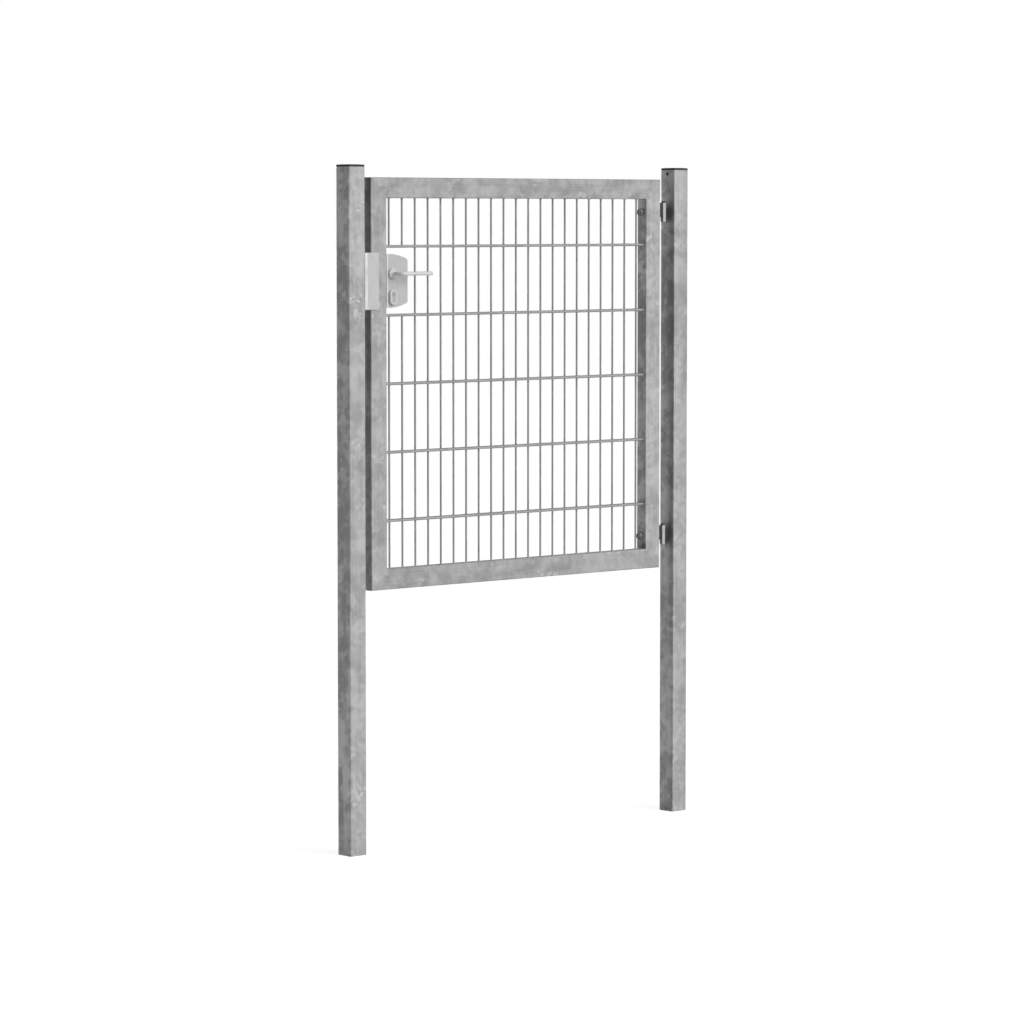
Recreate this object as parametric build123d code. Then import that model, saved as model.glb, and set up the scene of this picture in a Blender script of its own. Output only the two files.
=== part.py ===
from build123d import *
import math
import os

# Single gate of galvanised steel: two square posts, a framed leaf with welded bar mesh, a lock and hinges.
# Millimetres. Origin midway between the posts at their feet, +X towards the hinge post,
# +Y away from the side that carries the stop, +Z up.

# Posts
CLEAR_OPENING = 1250.0
POST_SIDE = 60.0
POST_WALL = 3.0
POST_EDGE_RADIUS = 4.0
POST_LENGTH = 2000.0
VENT_DIAMETER = 10.0
VENT_BELOW_TOP = 12.0

# Post caps
CAP_LIP = 6.0
CAP_EDGE_RADIUS = 1.5
CAP_PLUG_DEPTH = 30.0
CAP_PLUG_WALL = 2.5
CAP_PLUG_CLEARANCE = 0.2

# Leaf frame
LATCH_GAP = 30.0
HINGE_GAP = 50.0
LEAF_HEIGHT = 1200.0
LEAF_TOP_BELOW_POST_TOP = 30.0
FRAME_FACE = 60.0
FRAME_DEPTH = 40.0
FRAME_WALL = 2.0
FRAME_EDGE_RADIUS = 3.0
DRAIN_DIAMETER = 10.0
DRAIN_FROM_CORNER = 90.0

# Bar mesh
VERTICAL_BAR_PITCH = 50.0
VERTICAL_BAR_DIAMETER = 6.0
LEVEL_PITCH = 200.0
LEVEL_BAR_DIAMETER = 8.0
WELD_SINK = 0.4
CUT_BAR_ROOM = 5.0
CUT_BAR_TAIL = 4.0

# Hinges
HINGE_INSET = 100.0
HINGE_AXIS_FROM_POST = 18.0
PIN_DIAMETER = 10.0
PIN_RUNNING_CLEARANCE = 0.05
PIN_STAND_OUT = 2.5
SLEEVE_DIAMETER = 16.5
HINGE_HEIGHT = 58.0
THRUST_WASHER_THICKNESS = 1.5
THRUST_RUNNING_CLEARANCE = 0.1
LUG_WIDTH = 14.0
LUG_THICKNESS = 12.0
LUG_SET_BACK = 13.0
PIN_CAP_WALL = 1.2
PIN_CAP_TOP = 2.2
PIN_CAP_LIFT = 0.4
FLAG_FRONT_BAR = 12.0
FLAG_BEHIND_AXIS = 12.0
FLAG_EDGE_RADIUS = 1.5
FLAG_WELD_SINK = 0.5
STUD_DIAMETER = 12.0
STUD_END = 3.0
STUD_HOLE_CLEARANCE = 0.5
NUT_ACROSS_FLATS = 19.0
NUT_HEIGHT = 10.0
NUT_BORE_CLEARANCE = 0.1
WASHER_DIAMETER = 24.0
WASHER_THICKNESS = 2.5

# Lock body
LOCK_ABOVE_LEVER = 57.0
LEVER_TO_CYLINDER = 60.5
LOCK_BELOW_CYLINDER = 39.5
LOCK_WIDTH = 80.5
LOCK_DEPTH = 40.0
LOCK_EDGE_DROP = 15.4
LOCK_CORNER_RADIUS = 10.0
MOUNTING_PLATE = 5.0
CASE_WALL = 2.5
COVER_THICKNESS = 3.0
COVER_EDGE_RADIUS = 1.2
BACKSET = 21.0
SLIDE_CLEARANCE = 0.5
COVER_SCREW_DIAMETER = 4.0
COVER_SCREW_HEAD = 8.0
COVER_SCREW_SINK = 2.0
COVER_SCREW_FROM_EDGE = 13.0
COVER_SCREW_ROOM = 2.5
SCREW_CLEARANCE = 0.1
CASE_SCREW_DIAMETER = 5.0
CASE_SCREW_HEAD = 9.0
CASE_SCREW_SINK = 2.2
CASE_SCREW_LENGTH = 18.0
CASE_SCREW_FROM_EDGE = 9.0

# Latch, dead bolt and what drives them
LATCH_ABOVE_LEVER = 24.0
LATCH_HEIGHT = 16.0
LATCH_DEPTH = 14.0
LATCH_PROJECTION = 21.0
LATCH_NOSE = 4.0
LATCH_TAIL = 8.0
FOLLOWER_RADIUS = 11.0
FOLLOWER_ARM_WIDTH = 6.0
FOLLOWER_ARM_RADIUS = 24.0
FOLLOWER_DEPTH = 10.0
FOLLOWER_CLEARANCE = 1.0
FOLLOWER_BACK_ROOM = 5.0
SPRING_DIAMETER = 12.0
SPRING_WIRE = 1.2
SPRING_END_CLEARANCE = 0.3
DEAD_BOLT_HEIGHT = 20.0
DEAD_BOLT_DEPTH = 12.0
DEAD_BOLT_REST_INSET = 2.0
DEAD_BOLT_TAIL = 16.0

# Key cylinder of the common pear-shaped profile
CYLINDER_ROUND = 17.0
CYLINDER_TOTAL = 33.0
CYLINDER_WEB = 10.0
CYLINDER_FIT = 0.3
PLUG_DIAMETER = 13.0
PLUG_RUNNING_CLEARANCE = 0.05
KEYWAY_WIDTH = 2.2
KEYWAY_HEIGHT = 8.5
KEYWAY_DEPTH = 12.0
CAM_RADIUS = 15.0
CAM_HUB_RADIUS = 8.2
CAM_WIDTH = 9.0
CAM_NOSE_WIDTH = 6.0
CAM_CLEARANCE = 0.5
CYLINDER_SCREW_DIAMETER = 5.0
CYLINDER_SCREW_HEAD = 9.0
CYLINDER_SCREW_SINK = 2.0
CYLINDER_SCREW_BITE = 6.0

# Levers, spindle and trim
LEVER_DIAMETER = 11.5
LEVER_REACH = 120.0
LEVER_STAND_OFF = 42.0
LEVER_BEND_RADIUS = 14.0
COLLAR_DIAMETER = 18.0
COLLAR_RUNNING_CLEARANCE = 0.1
ROSE_DIAMETER = 33.0
ROSE_THICKNESS = 8.0
ROSE_EDGE_RADIUS = 2.5
SPINDLE_SIDE = 7.0
SPINDLE_FIT = 0.05
SPINDLE_SHORT_OF_BEND = 2.0
GRUB_DIAMETER = 4.0
GRUB_FROM_COLLAR = 5.0
ESCUTCHEON_WIDTH = 28.0
ESCUTCHEON_HEIGHT = 47.0
ESCUTCHEON_THICKNESS = 8.0
ESCUTCHEON_EDGE_RADIUS = 2.0

# Strike keeper
KEEPER_HEIGHT = 165.0
KEEPER_THICKNESS = 3.0
STOP_LAP = 26.0
STOP_CLEARANCE = 2.0
JOGGLE_RUN = 13.0
JOGGLE_STEP = 4.0
LIP_REACH = 18.0
LIP_CLEARANCE = 1.0
KEEPER_BEND_RADIUS = 1.0
KEEPER_SCREW_DIAMETER = 6.0
KEEPER_SCREW_HEAD = 11.0
KEEPER_SCREW_SINK = 2.5
KEEPER_SCREW_LENGTH = 16.0
KEEPER_SCREW_END_DISTANCE = 17.0

# Places worked out from the sizes above
POST_FACE_X = CLEAR_OPENING / 2
POST_X = POST_FACE_X + POST_SIDE / 2
LEAF_LEFT = -POST_FACE_X + LATCH_GAP
LEAF_RIGHT = POST_FACE_X - HINGE_GAP
LEAF_TOP = POST_LENGTH - LEAF_TOP_BELOW_POST_TOP
LEAF_BOTTOM = LEAF_TOP - LEAF_HEIGHT
STILE_INNER = LEAF_LEFT + FRAME_FACE
HINGE_STILE_INNER = LEAF_RIGHT - FRAME_FACE
LEAF_FRONT = -FRAME_DEPTH / 2
HINGE_X = POST_FACE_X - HINGE_AXIS_FROM_POST
HINGE_HEIGHTS = {"upper": LEAF_TOP - HINGE_INSET, "lower": LEAF_BOTTOM + HINGE_INSET}
LEVEL_COUNT = math.ceil(LEAF_HEIGHT / LEVEL_PITCH) - 1
LEVEL_FIRST = LEAF_TOP - (LEAF_HEIGHT - (LEVEL_COUNT - 1) * LEVEL_PITCH) / 2
LEVELS = [LEVEL_FIRST - i * LEVEL_PITCH for i in range(LEVEL_COUNT)]
LOCK_Z = (LEVELS[0] + LEVELS[1]) / 2
LOCK_RIGHT = STILE_INNER + LOCK_WIDTH
CASE_LEFT = STILE_INNER + MOUNTING_PLATE
LEVER_X = STILE_INNER + BACKSET
LOCK_HEIGHT = LOCK_ABOVE_LEVER + LEVER_TO_CYLINDER + LOCK_BELOW_CYLINDER
LOCK_TOP = LOCK_Z + LOCK_HEIGHT / 2
LOCK_BOTTOM = LOCK_Z - LOCK_HEIGHT / 2
LEVER_Z = LOCK_TOP - LOCK_ABOVE_LEVER
CYLINDER_Z = LEVER_Z - LEVER_TO_CYLINDER
CYLINDER_SCREW_Z = CYLINDER_Z - CAM_RADIUS - CAM_CLEARANCE - CYLINDER_SCREW_DIAMETER / 2 - CYLINDER_FIT
LATCH_Z = LEVER_Z + LATCH_ABOVE_LEVER
DEAD_BOLT_Z = (LEVER_Z - FOLLOWER_RADIUS + CYLINDER_Z + CAM_RADIUS) / 2
COVER_INNER_Y = LOCK_DEPTH / 2 - COVER_THICKNESS
KEEPER_BASE_X = -POST_FACE_X + KEEPER_THICKNESS
STOP_BACK_Y = LEAF_FRONT - STOP_CLEARANCE
LIP_FRONT_Y = LATCH_DEPTH / 2 + LIP_CLEARANCE
UPWARD = (Align.CENTER, Align.CENTER, Align.MIN)
ALONG_X = Rot(0, 90, 0)
AGAINST_X = Rot(0, -90, 0)
ALONG_Y = Rot(-90, 0, 0)


def block(low, high):
    """Box between two opposite corners."""
    centre = [(a + b) / 2 for a, b in zip(low, high)]
    return Pos(*centre) * Box(*[b - a for a, b in zip(low, high)])


def rod_x(diameter, start, end, y, z):
    """Round bar along X."""
    return Pos(start, y, z) * ALONG_X * Cylinder(diameter / 2, end - start, align=UPWARD)


def rod_y(diameter, x, start, end, z):
    """Round bar along Y."""
    return Pos(x, start, z) * ALONG_Y * Cylinder(diameter / 2, end - start, align=UPWARD)


def rod_z(diameter, x, y, start, end):
    """Round bar along Z."""
    return Pos(x, y, start) * Cylinder(diameter / 2, end - start, align=UPWARD)


def cone_y(head, shank, x, start, depth, z):
    """Countersink along Y, wide at start; a negative depth points towards -Y."""
    turn = ALONG_Y if depth > 0 else Rot(90, 0, 0)
    return Pos(x, start, z) * turn * Cone(head / 2, shank / 2, abs(depth), align=UPWARD)


def prism_y(face, start, end):
    """Face drawn in X and Z, as a solid from start to end along Y."""
    return Pos(0, end, 0) * extrude(Plane.XZ * face, end - start)


def prism_z(face, start, end):
    """Face drawn in X and Y, as a solid from start to end along Z."""
    return Pos(0, 0, start) * extrude(face, end - start)


def polygon(points):
    """Flat face with straight sides through the points."""
    return make_face(Polyline(*points, close=True))


def tube_section(width, depth, wall, radius):
    """Hollow rectangle with rounded corners inside and out."""
    inner_radius = max(radius - wall, radius / 4)
    outside = RectangleRounded(width, depth, radius)
    inside = RectangleRounded(width - 2 * wall, depth - 2 * wall, inner_radius)
    return outside - inside


# Posts and caps

def post(x, inner_side):
    """Square tube with a vent hole near its top, on the face towards the leaf."""
    section = tube_section(POST_SIDE, POST_SIDE, POST_WALL, POST_EDGE_RADIUS)
    body = Pos(x, 0, 0) * prism_z(section, 0, POST_LENGTH)
    face = x + inner_side * POST_SIDE / 2
    ends = sorted((face - inner_side * 2 * POST_WALL, face + inner_side * POST_WALL))
    return body - rod_x(VENT_DIAMETER, ends[0], ends[1], 0, POST_LENGTH - VENT_BELOW_TOP)


def post_cap(x):
    """Flat lid flush with the tube, on a hollow plug."""
    outline = RectangleRounded(POST_SIDE, POST_SIDE, POST_EDGE_RADIUS)
    lid = prism_z(outline, POST_LENGTH, POST_LENGTH + CAP_LIP)
    lid = fillet(lid.edges().group_by(Axis.Z)[-1], CAP_EDGE_RADIUS)
    plug_side = POST_SIDE - 2 * POST_WALL - 2 * CAP_PLUG_CLEARANCE
    plug_radius = max(POST_EDGE_RADIUS - POST_WALL, POST_EDGE_RADIUS / 4)
    plug = prism_z(tube_section(plug_side, plug_side, CAP_PLUG_WALL, plug_radius),
                   POST_LENGTH - CAP_PLUG_DEPTH, POST_LENGTH)
    return Pos(x, 0, 0) * (lid + plug)


# Strike keeper

def keeper_screw_heights():
    """Two screws near the keeper's ends and one between the bolts."""
    reach = KEEPER_HEIGHT / 2 - KEEPER_SCREW_END_DISTANCE
    return [LOCK_Z - reach, (LATCH_Z + DEAD_BOLT_Z) / 2, LOCK_Z + reach]


KEEPER_SCREW_Y = (STOP_BACK_Y + LIP_FRONT_Y) / 2


def keeper_screws(growth):
    """Countersunk screws through the keeper into the post, or their holes when grown."""
    shapes = []
    for z in keeper_screw_heights():
        end = KEEPER_BASE_X - KEEPER_SCREW_LENGTH
        shank = rod_x(KEEPER_SCREW_DIAMETER + 2 * growth, end, KEEPER_BASE_X, KEEPER_SCREW_Y, z)
        wide, narrow = KEEPER_SCREW_HEAD / 2 + growth, KEEPER_SCREW_DIAMETER / 2 + growth
        head = Cone(wide, narrow, KEEPER_SCREW_SINK, align=UPWARD)
        head = Pos(KEEPER_BASE_X, KEEPER_SCREW_Y, z) * AGAINST_X * head
        shapes.append(shank + head)
    return shapes


def strike_keeper():
    """Bent strip: base on the post, stepped stop in front of the stile, catch lip behind the bolts."""
    front = STOP_BACK_Y - KEEPER_THICKNESS
    stop_end = LEAF_LEFT + STOP_LAP
    joggle_x = -POST_FACE_X + JOGGLE_RUN
    slope = JOGGLE_STEP / JOGGLE_RUN
    inner_start = STOP_BACK_Y - slope * (joggle_x - KEEPER_BASE_X)
    lip_end = -POST_FACE_X + LIP_REACH
    lip_back = LIP_FRONT_Y + KEEPER_THICKNESS
    outline = polygon([
        (-POST_FACE_X, front - JOGGLE_STEP),
        (joggle_x, front),
        (stop_end, front),
        (stop_end, STOP_BACK_Y),
        (joggle_x, STOP_BACK_Y),
        (KEEPER_BASE_X, inner_start),
        (KEEPER_BASE_X, LIP_FRONT_Y),
        (lip_end, LIP_FRONT_Y),
        (lip_end, lip_back),
        (-POST_FACE_X, lip_back),
    ])
    outline = fillet(outline.vertices().filter_by(lambda v: v.X > -POST_FACE_X + KEEPER_THICKNESS / 2),
                     KEEPER_BEND_RADIUS)
    body = prism_z(outline, LOCK_Z - KEEPER_HEIGHT / 2, LOCK_Z + KEEPER_HEIGHT / 2)
    for hole in keeper_screws(SCREW_CLEARANCE):
        body -= hole
    return body


# Hinges

def lug_top(height):
    """Upper face of the post's lug, for a hinge whose middle is at that height."""
    return height - HINGE_HEIGHT / 2 + LUG_THICKNESS


def sleeve_bottom(height):
    """Lower end of the sleeve, which runs on the washer above the lug."""
    return lug_top(height) + THRUST_WASHER_THICKNESS + THRUST_RUNNING_CLEARANCE


def sleeve_top(height):
    """Upper end of the sleeve."""
    return height + HINGE_HEIGHT / 2


def hinge_pintle(height):
    """Lug on the post, set back so that it clears the opening leaf, with an upright pin for the sleeve."""
    top = lug_top(height)
    bottom = top - LUG_THICKNESS
    half = LUG_WIDTH / 2
    outline = polygon([
        (HINGE_X, -half),
        (POST_FACE_X, LUG_SET_BACK - half),
        (POST_FACE_X, LUG_SET_BACK + half),
        (HINGE_X, half),
    ])
    body = prism_z(outline, bottom, top)
    body += rod_z(LUG_WIDTH, HINGE_X, 0, bottom, top)
    return body + rod_z(PIN_DIAMETER, HINGE_X, 0, top, sleeve_top(height) + PIN_STAND_OUT)


def pin_cap(height):
    """Push-on cap over the pin's free end."""
    start = sleeve_top(height) + PIN_CAP_LIFT
    pin_end = sleeve_top(height) + PIN_STAND_OUT
    outside = rod_z(PIN_DIAMETER + 2 * PIN_CAP_WALL, HINGE_X, 0, start, pin_end + PIN_CAP_TOP)
    return outside - rod_z(PIN_DIAMETER, HINGE_X, 0, start, pin_end)


def thrust_washer(height):
    """Washer between the lug and the sleeve."""
    bottom = lug_top(height)
    top = bottom + THRUST_WASHER_THICKNESS
    ring = rod_z(LUG_WIDTH, HINGE_X, 0, bottom, top)
    return ring - rod_z(PIN_DIAMETER + 2 * PIN_RUNNING_CLEARANCE, HINGE_X, 0, bottom, top)


OUTER_NUT_END = LEAF_RIGHT + WASHER_THICKNESS + NUT_HEIGHT
STUD_INNER_END = HINGE_STILE_INNER - WASHER_THICKNESS - NUT_HEIGHT - STUD_END


def hinge_flag(height):
    """Block with a sleeve for the pin and a threaded stud that passes through the hinge stile.

    The block is cut away below the sleeve, except for a bar along its front, to pass over the lug.
    """
    bottom, top = sleeve_bottom(height), sleeve_top(height)
    block_end = HINGE_X - SLEEVE_DIAMETER / 2 + FLAG_WELD_SINK
    bar_back = LEAF_FRONT + FLAG_FRONT_BAR
    body = block((OUTER_NUT_END, LEAF_FRONT, top - HINGE_HEIGHT), (block_end, bar_back, top))
    body += block((OUTER_NUT_END, bar_back, bottom), (block_end, FLAG_BEHIND_AXIS, top))
    body = fillet(body.edges().filter_by(Axis.Z).group_by(Axis.Y)[0], FLAG_EDGE_RADIUS)
    body += rod_z(SLEEVE_DIAMETER, HINGE_X, 0, bottom, top)
    body += rod_x(STUD_DIAMETER, STUD_INNER_END, block_end, 0, height)
    return body - rod_z(PIN_DIAMETER + 2 * PIN_RUNNING_CLEARANCE, HINGE_X, 0, bottom, top)


def hinge_nut(start, height):
    """Hexagon nut on the stud."""
    section = RegularPolygon(NUT_ACROSS_FLATS / 2, 6, major_radius=False)
    section -= Circle(STUD_DIAMETER / 2 + NUT_BORE_CLEARANCE)
    return Pos(start, 0, height) * ALONG_X * extrude(section, NUT_HEIGHT)


def hinge_washer(start, height):
    """Round washer on the stud."""
    ring = rod_x(WASHER_DIAMETER, start, start + WASHER_THICKNESS, 0, height)
    hole = STUD_DIAMETER + 2 * NUT_BORE_CLEARANCE
    return ring - rod_x(hole, start, start + WASHER_THICKNESS, 0, height)


# Leaf frame

def bolt_slot(z, height, depth, start, end):
    """Passage for a sliding bolt, with its clearance."""
    half_height = height / 2 + SLIDE_CLEARANCE
    half_depth = depth / 2 + SLIDE_CLEARANCE
    return block((start, -half_depth, z - half_height), (end, half_depth, z + half_height))


def case_screw_heights():
    """One screw between the two bolts and one near the lock's lower edge."""
    between_bolts = (LATCH_Z - LATCH_HEIGHT / 2 + DEAD_BOLT_Z + DEAD_BOLT_HEIGHT / 2) / 2
    return [between_bolts, LOCK_BOTTOM + CASE_SCREW_FROM_EDGE]


def stile(outer, inner):
    """Upright frame tube between two mitred ends."""
    section = tube_section(FRAME_FACE, FRAME_DEPTH, FRAME_WALL, FRAME_EDGE_RADIUS)
    tube = Pos((outer + inner) / 2, 0, 0) * prism_z(section, LEAF_BOTTOM, LEAF_TOP)
    mitres = polygon([
        (outer, LEAF_BOTTOM),
        (inner, LEAF_BOTTOM + FRAME_FACE),
        (inner, LEAF_TOP - FRAME_FACE),
        (outer, LEAF_TOP),
    ])
    return tube & prism_y(mitres, -FRAME_DEPTH, FRAME_DEPTH)


def lock_stile():
    """Stile that the two bolts pass through and the lock is screwed to."""
    body = stile(LEAF_LEFT, STILE_INNER)
    body -= bolt_slot(LATCH_Z, LATCH_HEIGHT, LATCH_DEPTH, LEAF_LEFT - FRAME_WALL, STILE_INNER + FRAME_WALL)
    body -= bolt_slot(DEAD_BOLT_Z, DEAD_BOLT_HEIGHT, DEAD_BOLT_DEPTH,
                      LEAF_LEFT - FRAME_WALL, STILE_INNER + FRAME_WALL)
    for screw in case_screws(SCREW_CLEARANCE):
        body -= screw
    return body


def hinge_stile():
    """Stile that the hinge studs pass through."""
    body = stile(LEAF_RIGHT, HINGE_STILE_INNER)
    for height in HINGE_HEIGHTS.values():
        hole = STUD_DIAMETER + 2 * STUD_HOLE_CLEARANCE
        body -= rod_x(hole, HINGE_STILE_INNER - FRAME_WALL, LEAF_RIGHT + FRAME_WALL, 0, height)
    return body


def rail(outer, inner):
    """Level frame tube between two mitred ends."""
    section = tube_section(FRAME_FACE, FRAME_DEPTH, FRAME_WALL, FRAME_EDGE_RADIUS)
    tube = Pos(LEAF_LEFT, 0, (outer + inner) / 2) * ALONG_X * extrude(section, LEAF_RIGHT - LEAF_LEFT)
    mitres = polygon([
        (LEAF_LEFT, outer),
        (STILE_INNER, inner),
        (HINGE_STILE_INNER, inner),
        (LEAF_RIGHT, outer),
    ])
    return tube & prism_y(mitres, -FRAME_DEPTH, FRAME_DEPTH)


def bottom_rail():
    """Lower rail with two drain holes in its underside."""
    body = rail(LEAF_BOTTOM, LEAF_BOTTOM + FRAME_FACE)
    for x in (LEAF_LEFT + DRAIN_FROM_CORNER, LEAF_RIGHT - DRAIN_FROM_CORNER):
        body -= rod_z(DRAIN_DIAMETER, x, 0, LEAF_BOTTOM - FRAME_WALL, LEAF_BOTTOM + 2 * FRAME_WALL)
    return body


# Bar mesh

def vertical_bars():
    """Upright bars; those nearest the lock are cut out between the two levels above and below it."""
    inside = HINGE_STILE_INNER - STILE_INNER
    count = int(inside / VERTICAL_BAR_PITCH)
    first = STILE_INNER + (inside - (count - 1) * VERTICAL_BAR_PITCH) / 2
    low = LEAF_BOTTOM + FRAME_FACE
    high = LEAF_TOP - FRAME_FACE
    bars = []
    for i in range(count):
        x = first + i * VERTICAL_BAR_PITCH
        spans = [(low, high)]
        if x - VERTICAL_BAR_DIAMETER / 2 < LOCK_RIGHT + CUT_BAR_ROOM:
            spans = [(low, LEVELS[1] + CUT_BAR_TAIL), (LEVELS[0] - CUT_BAR_TAIL, high)]
        bars += [rod_z(VERTICAL_BAR_DIAMETER, x, 0, start, end) for start, end in spans]
    return bars


def level_bars(side):
    """Level bars on one face of the upright bars; side is -1 in front and 1 behind."""
    y = side * ((VERTICAL_BAR_DIAMETER + LEVEL_BAR_DIAMETER) / 2 - WELD_SINK)
    return [rod_x(LEVEL_BAR_DIAMETER, STILE_INNER, HINGE_STILE_INNER, y, z) for z in LEVELS]


# Lock body

def lock_outline(inset):
    """D-shaped outline of the lock in X and Z, its top and bottom edges curving down to the free side."""
    left = CASE_LEFT + inset
    right = LOCK_RIGHT - inset
    top = LOCK_TOP - inset
    bottom = LOCK_BOTTOM + inset
    corner_top = top - LOCK_EDGE_DROP
    corner_bottom = bottom + LOCK_EDGE_DROP
    edges = [
        TangentArc((left, top), (right, corner_top), tangent=(1, 0)),
        Line((right, corner_top), (right, corner_bottom)),
        TangentArc((left, bottom), (right, corner_bottom), tangent=(1, 0)),
        Line((left, bottom), (left, top)),
    ]
    face = make_face(Wire(edges))
    corners = [v for v in face.vertices() if v.X > (left + right) / 2]
    return fillet(corners, LOCK_CORNER_RADIUS - inset)


def cylinder_profile(growth):
    """Pear-shaped section of the key cylinder in X and Z."""
    radius = CYLINDER_ROUND / 2 + growth
    half_web = CYLINDER_WEB / 2 + growth
    foot = CYLINDER_Z + CYLINDER_ROUND / 2 - CYLINDER_TOTAL + CYLINDER_WEB / 2
    web = Pos(LEVER_X, (CYLINDER_Z + foot) / 2) * Rectangle(2 * half_web, CYLINDER_Z - foot)
    return Pos(LEVER_X, CYLINDER_Z) * Circle(radius) + web + Pos(LEVER_X, foot) * Circle(half_web)


def cover_screw_places():
    """Two screws near the free side and one above and one below the works."""
    free_side = LOCK_RIGHT - COVER_SCREW_FROM_EDGE
    above_latch = (LATCH_Z + LATCH_HEIGHT / 2 + LOCK_TOP - CASE_WALL) / 2
    screw_spacing = (CYLINDER_SCREW_DIAMETER + COVER_SCREW_DIAMETER) / 2 + COVER_SCREW_ROOM
    beside_cylinder = LEVER_X + CYLINDER_ROUND
    return [
        (free_side, LEVER_Z),
        (free_side, CYLINDER_Z),
        (LEVER_X, above_latch),
        (beside_cylinder, CYLINDER_SCREW_Z - screw_spacing),
    ]


def cover_screws(growth):
    """Screws through both covers, with a countersunk head at each end, or their holes when grown."""
    shapes = []
    half = LOCK_DEPTH / 2
    for x, z in cover_screw_places():
        shank = COVER_SCREW_DIAMETER + 2 * growth
        head = COVER_SCREW_HEAD + 2 * growth
        body = rod_y(shank, x, -half, half, z)
        body += cone_y(head, shank, x, -half, COVER_SCREW_SINK, z)
        body += cone_y(head, shank, x, half, -COVER_SCREW_SINK, z)
        shapes.append(body)
    return shapes


def case_screws(growth):
    """Screws from inside the case through the mounting plate into the stile, or their holes when grown."""
    shapes = []
    start = CASE_LEFT + CASE_WALL
    for z in case_screw_heights():
        shank = CASE_SCREW_DIAMETER + 2 * growth
        body = rod_x(shank, start - CASE_SCREW_LENGTH, start, 0, z)
        head = Cone(CASE_SCREW_HEAD / 2 + growth, shank / 2, CASE_SCREW_SINK, align=UPWARD)
        body += Pos(start, 0, z) * AGAINST_X * head
        shapes.append(body)
    return shapes


def cylinder_screw(growth):
    """Long screw from the lock's free edge into the key cylinder, or its hole when grown."""
    z = CYLINDER_SCREW_Z
    shank = CYLINDER_SCREW_DIAMETER + 2 * growth
    body = rod_x(shank, LEVER_X + CYLINDER_WEB / 2 - CYLINDER_SCREW_BITE, LOCK_RIGHT, 0, z)
    head = Cone(CYLINDER_SCREW_HEAD / 2 + growth, shank / 2, CYLINDER_SCREW_SINK, align=UPWARD)
    return body + Pos(LOCK_RIGHT, 0, z) * AGAINST_X * head


def mounting_plate():
    """Flat plate between the stile and the lock case."""
    plate = block((STILE_INNER, -LOCK_DEPTH / 2, LOCK_BOTTOM), (CASE_LEFT, LOCK_DEPTH / 2, LOCK_TOP))
    start, end = STILE_INNER - MOUNTING_PLATE, CASE_LEFT + MOUNTING_PLATE
    plate -= bolt_slot(LATCH_Z, LATCH_HEIGHT, LATCH_DEPTH, start, end)
    plate -= bolt_slot(DEAD_BOLT_Z, DEAD_BOLT_HEIGHT, DEAD_BOLT_DEPTH, start, end)
    for screw in case_screws(SCREW_CLEARANCE):
        plate -= screw
    return plate


def lock_case():
    """Rim of the lock between its two covers, open for the bolts and for the turning cam."""
    rim = prism_y(lock_outline(0) - lock_outline(CASE_WALL), -COVER_INNER_Y, COVER_INNER_Y)
    start, end = CASE_LEFT - CASE_WALL, CASE_LEFT + 2 * CASE_WALL
    rim -= bolt_slot(LATCH_Z, LATCH_HEIGHT, LATCH_DEPTH, start, end)
    rim -= bolt_slot(DEAD_BOLT_Z, DEAD_BOLT_HEIGHT, DEAD_BOLT_DEPTH, start, end)
    rim -= bolt_slot(CYLINDER_Z, 2 * CAM_RADIUS, CAM_WIDTH, start, end)
    for screw in case_screws(SCREW_CLEARANCE):
        rim -= screw
    return rim - cylinder_screw(SCREW_CLEARANCE)


def lock_cover(side):
    """Outer plate of the lock; side is -1 in front and 1 behind."""
    faces = sorted((side * COVER_INNER_Y, side * LOCK_DEPTH / 2))
    plate = prism_y(lock_outline(0), faces[0], faces[1])
    outer = plate.faces().sort_by(Axis.Y)[0 if side < 0 else -1]
    plate = fillet(outer.edges(), COVER_EDGE_RADIUS)
    plate -= rod_y(COLLAR_DIAMETER + 2 * SLIDE_CLEARANCE, LEVER_X, faces[0], faces[1], LEVER_Z)
    plate -= prism_y(cylinder_profile(CYLINDER_FIT), faces[0], faces[1])
    for screw in cover_screws(SCREW_CLEARANCE):
        plate -= screw
    return plate


# Bolts and their drive

LATCH_TIP_X = LEAF_LEFT - LATCH_PROJECTION
NOTCH_RIGHT = LEVER_X + FOLLOWER_ARM_WIDTH / 2 + FOLLOWER_CLEARANCE
NOTCH_LEFT = LEVER_X - FOLLOWER_ARM_WIDTH / 2 - FOLLOWER_BACK_ROOM
LATCH_END_X = NOTCH_RIGHT + LATCH_TAIL


def latch_bolt():
    """Bar with a nose bevelled on its front side and a notch for the follower's arm."""
    half_height, half_depth = LATCH_HEIGHT / 2, LATCH_DEPTH / 2
    bevel_run = LATCH_DEPTH - LATCH_NOSE
    outline = polygon([
        (LATCH_TIP_X, half_depth),
        (LATCH_TIP_X, half_depth - LATCH_NOSE),
        (LATCH_TIP_X + bevel_run, -half_depth),
        (LATCH_END_X, -half_depth),
        (LATCH_END_X, half_depth),
    ])
    bar = prism_z(outline, LATCH_Z - half_height, LATCH_Z + half_height)
    notch_top = LEVER_Z + FOLLOWER_ARM_RADIUS + FOLLOWER_CLEARANCE
    notch_bottom = LATCH_Z - LATCH_HEIGHT
    return bar - block((NOTCH_LEFT, -LATCH_DEPTH, notch_bottom), (NOTCH_RIGHT, LATCH_DEPTH, notch_top))


def latch_spring():
    """Closed outer form of the coil that pushes the latch out."""
    end = LOCK_RIGHT - CASE_WALL - SPRING_END_CLEARANCE
    start = LATCH_END_X + SPRING_END_CLEARANCE
    coil = rod_x(SPRING_DIAMETER, start, end, 0, LATCH_Z)
    return coil - rod_x(SPRING_DIAMETER - 2 * SPRING_WIRE, start, end, 0, LATCH_Z)


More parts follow.
